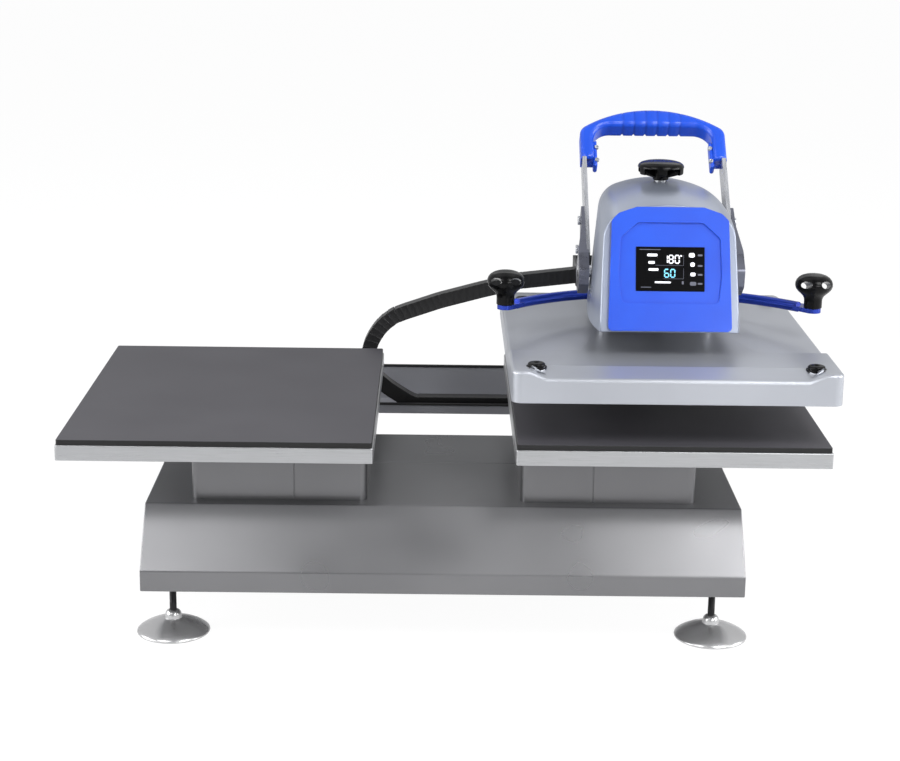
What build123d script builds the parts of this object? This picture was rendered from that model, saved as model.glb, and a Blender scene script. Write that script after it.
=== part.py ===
from build123d import *
import os
from math import atan2, cos, degrees, radians, sin, sqrt

# Dual station heat press: two fixed lower platens on one folded base, and one heated head that
# slides along a rear rail from station to station. Modelled with the head over the right station.
# Working axes: X to the right from the plane midway between the stations, Y back from the front
# edge of the lower platens, Z up from the top of the rubber pads. save() moves each piece to the
# part's own frame, whose origin is on the floor under the middle of the machine.

# Driving dimensions, mm
STATION_X = 290
PLATEN_W = 400
PLATEN_D = 500
PLATE_T = 20
PAD_T = 7
PAD_INSET = 1.5
PAD_HEIGHT = 270

BASE_HALF_W = 387.5
BASE_DEPTH = 390
BASE_TOP_Z = -102
BASE_LIP_TOP_Z = -173.5
BASE_BOTTOM_Z = -201
BASE_SLOPE_Y = 62
SEAM_Y = 252
SHEET = 3

PEDESTAL_IN_X = 100
PEDESTAL_OUT_X = 329
PEDESTAL_SEAM_X = 195
PEDESTAL_Y = (80, 330)

FOOT_R = 47.5
STUD_R = 4.65
FRONT_FOOT = (351, 40)
REAR_FOOT = (330, 631)

TRAY_Y = (520, 600)
TRAY_X = (-440, 300)
TRAY_FLOOR_Z = -107
TRAY_LIP_Z = -91.5
TRAY_WALL_Z = -52
TRAY_SHEET = 1.5

BEAM_HALF = 525
BEAM_Y = (601.5, 661.5)
BEAM_Z = (-126, -80)
RAIL_HALF = 480
RAIL_W = 20
RAIL_H = 15
BACK_Y = 700

COLUMN_HALF = 42
COLUMN_Y = (605, 685)
COLUMN_TOP_Z = 205
PLATE_Z = (-45, -33)

CHAIN_Y = (529, 551)
CHAIN_H = 22
CHAIN_RUN_Z = -94.4

HEAD_X = 286
CASING_Y = (80, 420)
CASING_Z = (128.5, 297)
CASING_HALF = 97.3
CASING_WIDEST_Y = 150
CASING_LEAN = 12.5
ROOF_Y = 245
ROOF_FALL = 1050
FACE_ORIGIN = (80, 131)
FACE_TILT = 18.3
WALL = 3

COVER_HALF_W = 207.5
COVER_Y = (-5, 505)
COVER_BOTTOM_Z = 56
COVER_EDGE_Z = 87
COVER_TOP_Z = 96.5
REAR_CAP_Z = 91.5
COVER_R = 13
COVER_SHEET = 2.5
HEATER_Z = 57
CAP_IN_X = 31.5
CAP_IN_Y = 30
REAR_CAP_IN_Y = 75
CAP_R = 11

PIVOT_Y = 212
PIVOT_Z = 180
HANDLE_LEAN = 43.5
SHAFT_R = 8
RAM_Y = 250
CRANK_R = 34.3
LINK_L = 100
CRANK_START = 185
HANDLE_SWING = 100

BAR_R = 7
BAR_BEND_R = 264
BAR_APEX_Y = 305
BAR_END_X = 206
BAR_Z = 132

Y_MID = (FRONT_FOOT[1] - FOOT_R + BACK_Y) / 2
FLOOR_Z = -PAD_HEIGHT
LEFT = -STATION_X
RIGHT = STATION_X
RUN_FIT = 0.05


def save(name, shape):
    """Move one piece from the working axes to the part's frame and write it."""
    export_step(Pos(0, -Y_MID, PAD_HEIGHT) * shape, "parts/" + name + ".step")


def block(x0, x1, y0, y1, z0, z1):
    return Pos((x0 + x1) / 2, (y0 + y1) / 2, (z0 + z1) / 2) * Box(x1 - x0, y1 - y0, z1 - z0)


def rod_z(x, y, z0, z1, r):
    return Pos(x, y, (z0 + z1) / 2) * Cylinder(r, z1 - z0)


def rod_x(x0, x1, y, z, r):
    return Pos((x0 + x1) / 2, y, z) * Rot(0, 90, 0) * Cylinder(r, x1 - x0)


def rod_y(x, y0, y1, z, r):
    return Pos(x, (y0 + y1) / 2, z) * Rot(90, 0, 0) * Cylinder(r, y1 - y0)


def prism_x(points, x0, x1):
    """A solid of one outline in the Y-Z plane, running from x0 to x1."""
    plane = Plane(origin=(x0, 0, 0), x_dir=(0, 1, 0), z_dir=(1, 0, 0))
    return extrude(plane * Polygon(*points, align=None), x1 - x0, dir=(1, 0, 0))


def prism_y(face, y0, y1):
    """A solid of one face in the X-Z plane, running back from y0 to y1."""
    plane = Plane(origin=(0, y0, 0), x_dir=(1, 0, 0), z_dir=(0, -1, 0))
    return extrude(plane * face, y1 - y0, dir=(0, 1, 0))


def hollow_box(x0, x1, y0, y1, z0, z1, wall):
    """A closed box tube."""
    inner = block(x0 + wall, x1 - wall, y0 + wall, y1 - wall, z0 + wall, z1 - wall)
    return block(x0, x1, y0, y1, z0, z1) - inner


def joined(shapes):
    """Fuse a list of shapes."""
    total = shapes[0]
    for shape in shapes[1:]:
        total = total + shape
    return total


def group(shapes):
    """Separate solids that share one node."""
    solids = []
    for shape in shapes:
        solids.extend(shape.solids())
    return Compound(solids)


# Base: folded cover in two panels, closed at the ends, open below
def base_outline(inset):
    return [
        (inset, BASE_BOTTOM_Z),
        (inset, BASE_LIP_TOP_Z + inset * 0.4),
        (BASE_SLOPE_Y + inset * 0.4, BASE_TOP_Z - inset),
        (BASE_DEPTH - inset, BASE_TOP_Z - inset),
        (BASE_DEPTH - inset, BASE_BOTTOM_Z),
    ]


def base_shell():
    outer = prism_x(base_outline(0), -BASE_HALF_W, BASE_HALF_W)
    inner = prism_x(base_outline(SHEET), -BASE_HALF_W + SHEET, BASE_HALF_W - SHEET)
    return outer - inner - block(-380, 380, 5, BASE_DEPTH - 5, BASE_BOTTOM_Z - 1, BASE_BOTTOM_Z + 1)


INLET_X = -246
SWITCH_X = -190
MODULE_X = (-264, -174)
MODULE_Z = (-162, -138)
shell = base_shell()
module_hole = block(*MODULE_X, BASE_DEPTH - 10, BASE_DEPTH + 1, *MODULE_Z)
base_cover = shell - block(-500, 500, SEAM_Y - 0.4, 500, -300, 0)
rear_deck = shell - block(-500, 500, -10, SEAM_Y + 0.4, -300, 0) - module_hole

# Welded frame of square tube inside the base, with posts up to the cover
TUBE = 40
FRAME_Z = (-196, -156)
POST_X = (130, 300)
POST_Y = (110, 315)
front_tube = hollow_box(-380, 380, 20, 20 + TUBE, *FRAME_Z, 3)
rear_tube = hollow_box(-380, 380, 300, 300 + TUBE, *FRAME_Z, 3)
side_tubes = [hollow_box(x - 20, x + 20, 60, BASE_DEPTH - SHEET, *FRAME_Z, 3) for x in (-330, 0, 330)]
posts = []
for side in (-1, 1):
    for x in POST_X:
        for y in POST_Y:
            posts.append(hollow_box(side * x - 15, side * x + 15, y - 15, y + 15,
                                    FRAME_Z[1], BASE_TOP_Z - SHEET, 3))
cross_tubes = [hollow_box(x, x + 290, 95, 125, *FRAME_Z, 3) for x in (-310, 20)]
base_frame = joined([front_tube, rear_tube] + side_tubes + cross_tubes + posts)

base_floor = block(-384, 384, 3.2, BASE_DEPTH - 3.2, BASE_BOTTOM_Z + 1, BASE_BOTTOM_Z + 3)

# Levelling feet: a threaded stud moulded into a spun disc, turning in a nut under the frame
STUD_TOP_Z = -168


def foot(x, y):
    profile = [
        (0, FLOOR_Z),
        (FOOT_R - 1, FLOOR_Z),
        (FOOT_R, FLOOR_Z + 1),
        (FOOT_R, FLOOR_Z + 3.5),
        (FOOT_R - 6, FLOOR_Z + 6.5),
        (24, FLOOR_Z + 14),
        (13, FLOOR_Z + 20),
        (11, FLOOR_Z + 24),
        (9, FLOOR_Z + 28),
        (STUD_R, FLOOR_Z + 30),
        (STUD_R, STUD_TOP_Z - 1),
        (STUD_R - 1, STUD_TOP_Z),
        (0, STUD_TOP_Z),
    ]
    face = Plane.XZ * Polygon(*profile, align=None)
    return Pos(x, y, 0) * revolve(face, Axis.Z)


foot_places = {
    "foot_front_left": (-FRONT_FOOT[0], FRONT_FOOT[1]),
    "foot_front_right": FRONT_FOOT,
    "foot_rear_left": (-REAR_FOOT[0], REAR_FOOT[1]),
    "foot_rear_right": REAR_FOOT,
}
feet = {name: foot(*place) for name, place in foot_places.items()}
NUT_H = 10
nuts = []
for x, y in foot_places.values():
    hexagon = extrude(RegularPolygon(9.5, 6), NUT_H) - Cylinder(STUD_R + RUN_FIT, 3 * NUT_H)
    nuts.append(Pos(x, y, BASE_BOTTOM_Z + 3) * hexagon)
foot_nuts = group(nuts)
for x, y in foot_places.values():
    stud_hole = rod_z(x, y, BASE_BOTTOM_Z - 5, STUD_TOP_Z + 6, 12)
    base_floor -= rod_z(x, y, BASE_BOTTOM_Z - 5, BASE_BOTTOM_Z + 5, 6)
    base_frame -= stud_hole

# Pedestals: folded boxes between the base and each lower platen
PLATE_Z0 = -PAD_T - PLATE_T
PLATE_Z1 = -PAD_T


def pedestal(side):
    x0, x1 = sorted((side * PEDESTAL_IN_X, side * PEDESTAL_OUT_X))
    outer = block(x0, x1, *PEDESTAL_Y, BASE_TOP_Z, PLATE_Z0)
    box = fillet(outer.edges().filter_by(Axis.Z), 10)
    inner = block(x0 + 3, x1 - 3, PEDESTAL_Y[0] + 3, PEDESTAL_Y[1] - 3, BASE_TOP_Z + 3, PLATE_Z0 - 5)
    inner = fillet(inner.edges().filter_by(Axis.Z), 7)
    seam = side * PEDESTAL_SEAM_X
    groove = block(seam - 0.6, seam + 0.6, PEDESTAL_Y[0] - 1, PEDESTAL_Y[0] + 1, -110, -20)
    return box - inner - groove


BOLT_SPOTS = [(x, y) for x in (135, 294) for y in (115, 295)]


def platen_bolt(x, y):
    """A cap screw from inside the pedestal up into the platen."""
    head = rod_z(x, y, PLATE_Z0 - 13, PLATE_Z0 - 5, 6.5)
    shank = rod_z(x, y, PLATE_Z0 - 5, PLATE_Z0 + 12, 4)
    return head + shank


bolts = [platen_bolt(side * x, y) for side in (-1, 1) for x, y in BOLT_SPOTS]
platen_bolts = group(bolts)


def lower_plate(x):
    plate = block(x - PLATEN_W / 2, x + PLATEN_W / 2, 0, PLATEN_D, PLATE_Z0, PLATE_Z1)
    plate = fillet(plate.edges().filter_by(Axis.Z), 3)
    return chamfer(plate.faces().sort_by(Axis.Z)[-1].edges(), 0.8)


def rubber_pad(x):
    half = PLATEN_W / 2 - PAD_INSET
    pad = block(x - half, x + half, PAD_INSET, PLATEN_D - PAD_INSET, PLATE_Z1, 0)
    pad = fillet(pad.edges().filter_by(Axis.Z), 3)
    return chamfer(pad.faces().sort_by(Axis.Z)[-1].edges(), 0.6)


pedestals = {-1: pedestal(-1), 1: pedestal(1)}
plates = {-1: lower_plate(LEFT), 1: lower_plate(RIGHT)}
for bolt in bolts:
    side = -1 if bolt.center().X < 0 else 1
    pedestals[side] -= bolt
    plates[side] -= bolt

# Rear structure: two bearers with legs, a box beam across them and the tray for the chain
def bearer(x):
    arm = block(x - 25, x + 25, BASE_DEPTH, BEAM_Y[0], -154, TRAY_FLOOR_Z)
    leg = block(x - 25, x + 25, *BEAM_Y, BASE_BOTTOM_Z, BEAM_Z[0])
    arm_core = block(x - 22, x + 22, BASE_DEPTH + 3, BEAM_Y[0] - 3, -151, TRAY_FLOOR_Z - 3)
    leg_core = block(x - 22, x + 22, BEAM_Y[0] + 3, BEAM_Y[1] - 3, BASE_BOTTOM_Z + 3, BEAM_Z[0] - 3)
    bore = rod_z(x, REAR_FOOT[1], BASE_BOTTOM_Z - 5, BASE_BOTTOM_Z + 5, 6)
    return arm + leg - arm_core - leg_core - bore


rail_beam = hollow_box(-BEAM_HALF, BEAM_HALF, *BEAM_Y, *BEAM_Z, 4)

y0, y1 = TRAY_Y
tray_floor = block(*TRAY_X, y0, y1 + TRAY_SHEET, TRAY_FLOOR_Z, TRAY_FLOOR_Z + TRAY_SHEET)
tray_lip = block(*TRAY_X, y0, y0 + TRAY_SHEET, TRAY_FLOOR_Z, TRAY_LIP_Z)
tray_wall = block(*TRAY_X, y1, y1 + TRAY_SHEET, TRAY_FLOOR_Z, TRAY_WALL_Z)
chain_tray = tray_floor + tray_lip + tray_wall

# Two identical linear rails, one on top of the beam and one behind it
RAIL_TOP_Y = (BEAM_Y[0] + BEAM_Y[1]) / 2
RAIL_REAR_Z = -108
top_rail = block(-RAIL_HALF, RAIL_HALF, RAIL_TOP_Y - RAIL_W / 2, RAIL_TOP_Y + RAIL_W / 2,
                 BEAM_Z[1], BEAM_Z[1] + RAIL_H)
top_rail -= block(-500, 500, RAIL_TOP_Y - 11, RAIL_TOP_Y - 8, -72, -68)
top_rail -= block(-500, 500, RAIL_TOP_Y + 8, RAIL_TOP_Y + 11, -72, -68)
rear_rail = block(-RAIL_HALF, RAIL_HALF, BEAM_Y[1], BEAM_Y[1] + RAIL_H,
                  RAIL_REAR_Z - RAIL_W / 2, RAIL_REAR_Z + RAIL_W / 2)
rear_rail -= block(-500, 500, BEAM_Y[1] + 8, BEAM_Y[1] + 12, RAIL_REAR_Z - 11, RAIL_REAR_Z - 8)
rear_rail -= block(-500, 500, BEAM_Y[1] + 8, BEAM_Y[1] + 12, RAIL_REAR_Z + 8, RAIL_REAR_Z + 11)
linear_rails = group([top_rail, rear_rail])

# Rubber-faced end stops, clear of the blocks by half a millimetre at each station
BLOCK_X = (215, 365)
BLOCK_L = 62
STOP_GAP = 0.5
stops = []
for side in (-1, 1):
    end = side * (BLOCK_X[1] + BLOCK_L / 2 + STOP_GAP)
    x0, x1 = sorted((end, end + side * 18))
    stops.append(block(x0, x1, RAIL_TOP_Y - 19, RAIL_TOP_Y + 19, BEAM_Z[1], -64.5)
                 - block(x0 - 1, x1 + 1, RAIL_TOP_Y - 10, RAIL_TOP_Y + 10, BEAM_Z[1] - 1, -60))
rail_stops = group(stops)

# Carriage: four bearing blocks, a bent plate over the beam and the column standing on it
CLEAR = 0.3
top_blocks = []
rear_blocks = []
for x in BLOCK_X:
    top = block(x - BLOCK_L / 2, x + BLOCK_L / 2, RAIL_TOP_Y - 22, RAIL_TOP_Y + 22, -76, PLATE_Z[0])
    top -= block(x - 60, x + 60, RAIL_TOP_Y - 10 - CLEAR, RAIL_TOP_Y + 10 + CLEAR, -90, -65 + CLEAR)
    top_blocks.append(top)
    rear = block(x - BLOCK_L / 2, x + BLOCK_L / 2, 665, 690, RAIL_REAR_Z - 22, RAIL_REAR_Z + 22)
    rear -= block(x - 60, x + 60, 650, BEAM_Y[1] + RAIL_H + CLEAR,
                  RAIL_REAR_Z - 10 - CLEAR, RAIL_REAR_Z + 10 + CLEAR)
    rear_blocks.append(rear)
bearing_blocks = group(top_blocks + rear_blocks)

deck = block(180, 400, 603, BACK_Y, *PLATE_Z)
apron = block(180, 400, 690, BACK_Y, -132, PLATE_Z[0])
slide_carriage = deck + apron

cx0 = HEAD_X - COLUMN_HALF
cx1 = HEAD_X + COLUMN_HALF
column = hollow_box(cx0, cx1, *COLUMN_Y, PLATE_Z[1], COLUMN_TOP_Z, 4)
gussets = [prism_x([(COLUMN_Y[0], -33), (COLUMN_Y[1], -33), (COLUMN_Y[1], 20)], x, x + 6)
           for x in (cx0 - 6, cx1)]
column = joined([column] + gussets)

# Arm from the column into the head
ARM_HALF = 40
ARM_Z = (148, 198)
head_arm = hollow_box(HEAD_X - ARM_HALF, HEAD_X + ARM_HALF, 300, COLUMN_Y[0], *ARM_Z, 4)

# Head frame: base plate, two cheeks and a bridge, carrying the handle shaft and the guide rods
CHEEK_IN = 50
CHEEK_OUT = 56
ROD_X = 70
ROD_R = 6
SCREW_R = 8
SLOT_HALF = 15
frame_plate = block(HEAD_X - 82, HEAD_X + 82, 120, 300, 140, 148)
frame_plate += block(HEAD_X - 60, HEAD_X + 60, 300, 400, 140, 148)
frame_plate -= block(HEAD_X - SLOT_HALF, HEAD_X + SLOT_HALF, 160, 282, 130, 150)
cheeks = []
for side in (-1, 1):
    x0, x1 = sorted((HEAD_X + side * CHEEK_IN, HEAD_X + side * CHEEK_OUT))
    cheeks.append(block(x0, x1, 150, 296, 148, 240))
bridge = block(HEAD_X - CHEEK_IN, HEAD_X + CHEEK_IN, 230, 270, 230, 240)
head_frame = joined([frame_plate, bridge] + cheeks)
head_frame -= rod_z(HEAD_X, RAM_Y, 220, 250, SCREW_R + RUN_FIT)

shaft_bushes = []
for side in (-1, 1):
    x0, x1 = sorted((HEAD_X + side * (CHEEK_IN - 3), HEAD_X + side * (CHEEK_OUT + 3)))
    outer_bush = rod_x(x0, x1, PIVOT_Y, PIVOT_Z, 12)
    head_frame -= outer_bush
    shaft_bushes.append(outer_bush - rod_x(x0 - 5, x1 + 5, PIVOT_Y, PIVOT_Z, SHAFT_R + RUN_FIT))
guide_bushes = []
for side in (-1, 1):
    x = HEAD_X + side * ROD_X
    sleeve = rod_z(x, RAM_Y, 140, 156, 9)
    head_frame -= sleeve
    guide_bushes.append(sleeve - rod_z(x, RAM_Y, 130, 170, ROD_R + RUN_FIT))

# Toggle geometry in the Y-Z plane, with the crank throw and link length given above
def crank_pin(angle):
    return (PIVOT_Y + CRANK_R * cos(radians(angle)), PIVOT_Z + CRANK_R * sin(radians(angle)))


def ram_pin_z(angle):
    y, z = crank_pin(angle)
    return z - sqrt(LINK_L ** 2 - (RAM_Y - y) ** 2)


def link_angle(angle):
    y, z = crank_pin(angle)
    return degrees(atan2(ram_pin_z(angle) - z, RAM_Y - y))


CRANK_END = CRANK_START + HANDLE_SWING
RAM_PIN_Z = ram_pin_z(CRANK_START)
TRAVEL = RAM_PIN_Z - ram_pin_z(CRANK_END)
LINK_TURN = link_angle(CRANK_END) - link_angle(CRANK_START) - HANDLE_SWING
print("press travel mm", round(TRAVEL, 3), "ram pin z", round(RAM_PIN_Z, 3))
print("handle ratio", round(-radians(HANDLE_SWING) / TRAVEL * 1000, 4))
print("link ratio", round(-radians(LINK_TURN) / TRAVEL * 1000, 4))

PIN_R = 4
PIN_Y, PIN_Z = crank_pin(CRANK_START)
handle_shaft = rod_x(HEAD_X - 110, HEAD_X + 110, PIVOT_Y, PIVOT_Z, SHAFT_R)


def slotted_bar(a, b, r, x0, x1):
    """A flat bar with round ends of radius r, from point a to point b in the Y-Z plane."""
    dy = b[0] - a[0]
    dz = b[1] - a[1]
    length = sqrt(dy ** 2 + dz ** 2)
    middle = Location(((x0 + x1) / 2, (a[0] + b[0]) / 2, (a[1] + b[1]) / 2), (degrees(atan2(dz, dy)), 0, 0))
    bar = middle * Box(x1 - x0, length, 2 * r)
    return bar + rod_x(x0, x1, *a, r) + rod_x(x0, x1, *b, r)


crank_cheeks = []
for side in (-1, 1):
    x0, x1 = sorted((HEAD_X + side * 7, HEAD_X + side * 13))
    arm = slotted_bar((PIVOT_Y, PIVOT_Z), (PIN_Y, PIN_Z), 10, x0, x1)
    crank_cheeks.append(arm + rod_x(x0, x1, PIVOT_Y, PIVOT_Z, 16))
crank_hub = rod_x(HEAD_X - 13, HEAD_X + 13, PIVOT_Y, PIVOT_Z, 14)
crank_pin_rod = rod_x(HEAD_X - 13, HEAD_X + 13, PIN_Y, PIN_Z, PIN_R)
toggle_crank = joined(crank_cheeks + [crank_hub, crank_pin_rod]) - handle_shaft

link = slotted_bar((PIN_Y, PIN_Z), (RAM_Y, RAM_PIN_Z), 8, HEAD_X - 6, HEAD_X + 6)
link -= rod_x(HEAD_X - 20, HEAD_X + 20, PIN_Y, PIN_Z, PIN_R + RUN_FIT)
toggle_link = link - rod_x(HEAD_X - 20, HEAD_X + 20, RAM_Y, RAM_PIN_Z, PIN_R + RUN_FIT)

# Ram: two ears on the press bracket; the pivot pin is short stubs in the ears
BRACKET_Z = (84, 92)
press_bracket = block(HEAD_X - 100, HEAD_X + 100, 180, 320, *BRACKET_Z)
press_bracket -= block(HEAD_X - 7.5, HEAD_X + 7.5, 222, 268, 80, 100)
ears = []
for side in (-1, 1):
    x0, x1 = sorted((HEAD_X + side * 7.5, HEAD_X + side * 13))
    ear = block(x0, x1, RAM_Y - 12, RAM_Y + 12, BRACKET_Z[1], RAM_PIN_Z)
    ears.append(ear + rod_x(x0, x1, RAM_Y, RAM_PIN_Z, 12))
    x0, x1 = sorted((HEAD_X + side * 7.5, HEAD_X + side * 16))
    ears.append(rod_x(x0, x1, RAM_Y, RAM_PIN_Z, 5))
press_bracket = joined([press_bracket] + ears)

rods = []
for side in (-1, 1):
    x = HEAD_X + side * ROD_X
    rods.append(rod_z(x, RAM_Y, BRACKET_Z[1], 250, ROD_R) + rod_z(x, RAM_Y, 244, 250, 9))
guide_rods = group(rods)
springs = []
for side in (-1, 1):
    x = HEAD_X + side * ROD_X
    springs.append(rod_z(x, RAM_Y, 156, 243.5, 9) - rod_z(x, RAM_Y, 150, 250, 7))
return_springs = group(springs)

# Heated platen, heater element, insulation and the deep pressed cover over them
hx0 = RIGHT - PLATEN_W / 2
hx1 = RIGHT + PLATEN_W / 2
HEAT_TOP_Z = HEATER_Z + 20
heat_platen = block(hx0, hx1, 0, PLATEN_D, HEATER_Z, HEAT_TOP_Z)
heat_platen = fillet(heat_platen.edges().filter_by(Axis.Z), 10)
ELEMENT_R = 4
runs = []
for i in range(8):
    x = RIGHT - 157.5 + 45 * i
    runs.append(rod_y(x, 30, PLATEN_D - 30, HEAT_TOP_Z - 4, ELEMENT_R))
for i in range(7):
    x = RIGHT - 157.5 + 45 * i
    y = PLATEN_D - 30 if i % 2 == 0 else 30
    runs.append(rod_x(x, x + 45, y, HEAT_TOP_Z - 4, ELEMENT_R))
heater_element = joined(runs)
heat_platen -= heater_element
for i in range(8):
    x = RIGHT - 157.5 + 45 * i
    heat_platen -= block(x - 4, x + 4, 30, PLATEN_D - 30, HEAT_TOP_Z - 4, HEAT_TOP_Z + 1)
for i in range(7):
    x = RIGHT - 157.5 + 45 * i
    y = PLATEN_D - 30 if i % 2 == 0 else 30
    heat_platen -= block(x, x + 45, y - 4, y + 4, HEAT_TOP_Z - 4, HEAT_TOP_Z + 1)
insulation = block(RIGHT - 190, RIGHT + 190, 10, 490, HEAT_TOP_Z, BRACKET_Z[0])


CORNER_RAMP = 27


def edge_cut(low, high, depth, sink):
    """The shallow slope along one cover edge from low to high, at Y = 0 and rising back over the depth."""
    top = 130
    z0 = COVER_EDGE_Z - sink
    z1 = COVER_TOP_Z - sink
    slope = prism_x([(-20, z0 - 2), (0, z0), (depth, z1 + 0.2), (depth, top), (-20, top)], -260, 260)
    ends = [(low, z0 - 2), (high, z0 - 2), (high + CORNER_RAMP, z1 + 0.1), (high + CORNER_RAMP, top),
            (low - CORNER_RAMP, top), (low - CORNER_RAMP, z1 + 0.1)]
    return slope & prism_y(Polygon(*ends, align=None), -20, depth + 1)


def cover_form(inset):
    """The cover's outside, or with an inset the space inside it."""
    y0, y1 = COVER_Y
    half = COVER_HALF_W - inset
    depth = y1 - y0 - 2 * inset
    bottom = COVER_BOTTOM_Z - (1 if inset else 0)
    height = COVER_TOP_Z - inset - bottom
    outline = Plane(origin=(RIGHT, (y0 + y1) / 2, bottom)) * RectangleRounded(2 * half, depth, COVER_R - inset)
    form = extrude(outline, height)
    mid_y = (y0 + y1) / 2
    front = Pos(RIGHT, y0 + inset, 0) * edge_cut(-158, 158, 36, inset)
    back = Pos(RIGHT, y1 - inset, 0) * Rot(0, 0, 180) * edge_cut(-220, 220, 60, inset)
    right = Pos(RIGHT + half, mid_y, 0) * Rot(0, 0, 90) * edge_cut(-115, 270, 95, inset)
    left = Pos(RIGHT - half, mid_y, 0) * Rot(0, 0, -90) * edge_cut(-270, 115, 95, inset)
    return form - front - back - right - left


platen_cover = cover_form(0) - cover_form(COVER_SHEET)
platen_cover -= block(HEAD_X - 20, HEAD_X + 20, RAM_Y - 20, RAM_Y + 20, 90, 110)
for side in (-1, 1):
    platen_cover -= rod_z(HEAD_X + side * ROD_X, RAM_Y, 90, 110, ROD_R + 1)

CAP_SPOTS = [(x, y, z) for x in (RIGHT - COVER_HALF_W + CAP_IN_X, RIGHT + COVER_HALF_W - CAP_IN_X)
             for y, z in ((COVER_Y[0] + CAP_IN_Y, COVER_TOP_Z), (COVER_Y[1] - REAR_CAP_IN_Y, REAR_CAP_Z))]
caps = []
for x, y, seat_z in CAP_SPOTS:
    platen_cover += rod_z(x, y, seat_z - 7, seat_z, CAP_R + 1.5)
for x, y, seat_z in CAP_SPOTS:
    cap = rod_z(x, y, seat_z, seat_z + 5, CAP_R)
    cap = chamfer(cap.faces().sort_by(Axis.Z)[-1].edges(), 1.5)
    stem = rod_z(x, y, HEAT_TOP_Z, seat_z, 3)
    caps.append(cap + stem)
    platen_cover -= stem
    insulation -= stem
cover_bolts = group(caps)

# Head casing: an arched shell that leans back in front, is widest a little behind its face, and
# narrows and falls away to the rear
def casing_half(y):
    """Half the casing's width at its lower edge."""
    bulge = 544 if y < CASING_WIDEST_Y else 2860
    return CASING_HALF - (y - CASING_WIDEST_Y) ** 2 / bulge


def roof_z(y):
    return CASING_Z[1] - (y - ROOF_Y) ** 2 / ROOF_FALL


def casing_section(y, crown_r, inset, z_low):
    """The casing's arched outline at one place along Y: leaning sides, round shoulders and a crown."""
    foot = casing_half(y) - inset
    half = foot - CASING_LEAN
    top = roof_z(y) - inset
    shoulder_z = top - half ** 2 / (2 * crown_r)
    slope = CASING_LEAN / (shoulder_z - CASING_Z[0])
    low = foot + slope * (CASING_Z[0] - z_low)
    sides = Polyline((-half, shoulder_z), (-low, z_low), (low, z_low), (half, shoulder_z))
    crown = ThreePointArc((half, shoulder_z), (0, top), (-half, shoulder_z))
    outline = make_face(sides.edges() + crown.edges())
    outline = fillet(outline.vertices().sort_by(Axis.Y)[-2:], 34 - inset)
    return Plane(origin=(HEAD_X, y, 0), x_dir=(1, 0, 0), z_dir=(0, -1, 0)) * outline


# Crown radius of the roof at places along Y
CROWNS = [(60, 210), (125, 200), (235, 160), (330, 140)]


def casing_form(inset, z_low, y_end):
    """The casing's outside, or with an inset the space inside it, before the face is cut."""
    sections = [casing_section(y, r, inset, z_low) for y, r in CROWNS]
    sections.append(casing_section(y_end, 130, inset, z_low))
    return loft(sections)


face = Plane(origin=(HEAD_X, *FACE_ORIGIN), x_dir=(1, 0, 0),
             z_dir=(0, -cos(radians(FACE_TILT)), sin(radians(FACE_TILT))))


def in_front(offset):
    """Everything in front of the leaning face plane, or behind it by the offset."""
    return face * Pos(0, 0, 150 - offset) * Box(400, 700, 300)


casing_out = casing_form(0, CASING_Z[0], CASING_Y[1]) - in_front(0)
casing_in = casing_form(WALL, CASING_Z[0] - 1, CASING_Y[1] - WALL) - in_front(WALL)
head_casing = casing_out - casing_in
head_casing -= block(HEAD_X - ARM_HALF - 0.2, HEAD_X + ARM_HALF + 0.2, 400, 430, 120, ARM_Z[1] + 0.2)
head_casing -= rod_x(HEAD_X - 120, HEAD_X + 120, PIVOT_Y, PIVOT_Z, SHAFT_R + 1)
head_casing -= rod_z(HEAD_X, RAM_Y, 280, 300, SCREW_R + 1)

# Blue fascia on the leaning face, with a dish round the display
FASCIA_T = 7
FASCIA = [(-79, -1.5), (79, -1.5), (75, 141), (66, 150), (43, 158), (-43, 158), (-66, 150), (-75, 141)]
DISH = [(-62, 34), (62, 34), (66, 70), (64, 118), (42, 138), (-42, 138), (-64, 118), (-66, 70)]
SCREEN = (88, 57)
SCREEN_V = 78.5


def on_face(points, low, high, radius):
    outline = fillet(Polygon(*points, align=None).vertices(), radius)
    return face * Pos(0, 0, low) * extrude(outline, high - low, dir=(0, 0, 1))


display_screen = face * Pos(0, SCREEN_V, 3) * Box(SCREEN[0], SCREEN[1], 4)
front_fascia = on_face(FASCIA, 0, FASCIA_T, 6)
front_fascia -= on_face(DISH, 4, FASCIA_T + 5, 8)
front_fascia -= face * Pos(0, SCREEN_V, 3) * Box(SCREEN[0], SCREEN[1], 8)
control_board = face * Pos(0, SCREEN_V, -12) * Box(110, 80, 1.6)
standoffs = [face * Pos(x, SCREEN_V + v, -7.1) * Cylinder(3, 8.2) for x in (-50, 50) for v in (-35, 35)]
control_board = joined([control_board] + standoffs)

# Pressure screw down through the bridge, with a domed handwheel above the casing
KNOB_Z = CASING_Z[1] + 1.5
screw = rod_z(HEAD_X, RAM_Y, 210, KNOB_Z + 8, SCREW_R)
dome = [(0, 26), (24, 24.5), (30, 20), (31, 15), (31, 12), (28, 12), (27, 17), (22, 20), (0, 21)]
pressure_knob = revolve(Plane.XZ * Polygon(*dome, align=None), Axis.Z)
pressure_knob += Cylinder(11, 22, align=(Align.CENTER, Align.CENTER, Align.MIN))
for i in range(5):
    leg = Pos(19, 0, 11) * Box(22, 7, 20)
    pressure_knob += Rot(0, 0, 72 * i) * leg & Cylinder(30.5, 60)
pressure_knob = Pos(HEAD_X, RAM_Y, KNOB_Z) * pressure_knob - screw

# Pull bar: one bent tube with a mushroom knob on a flat tab at each end
def bar_y(x):
    return BAR_APEX_Y - BAR_BEND_R + sqrt(BAR_BEND_R ** 2 - x ** 2)


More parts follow.
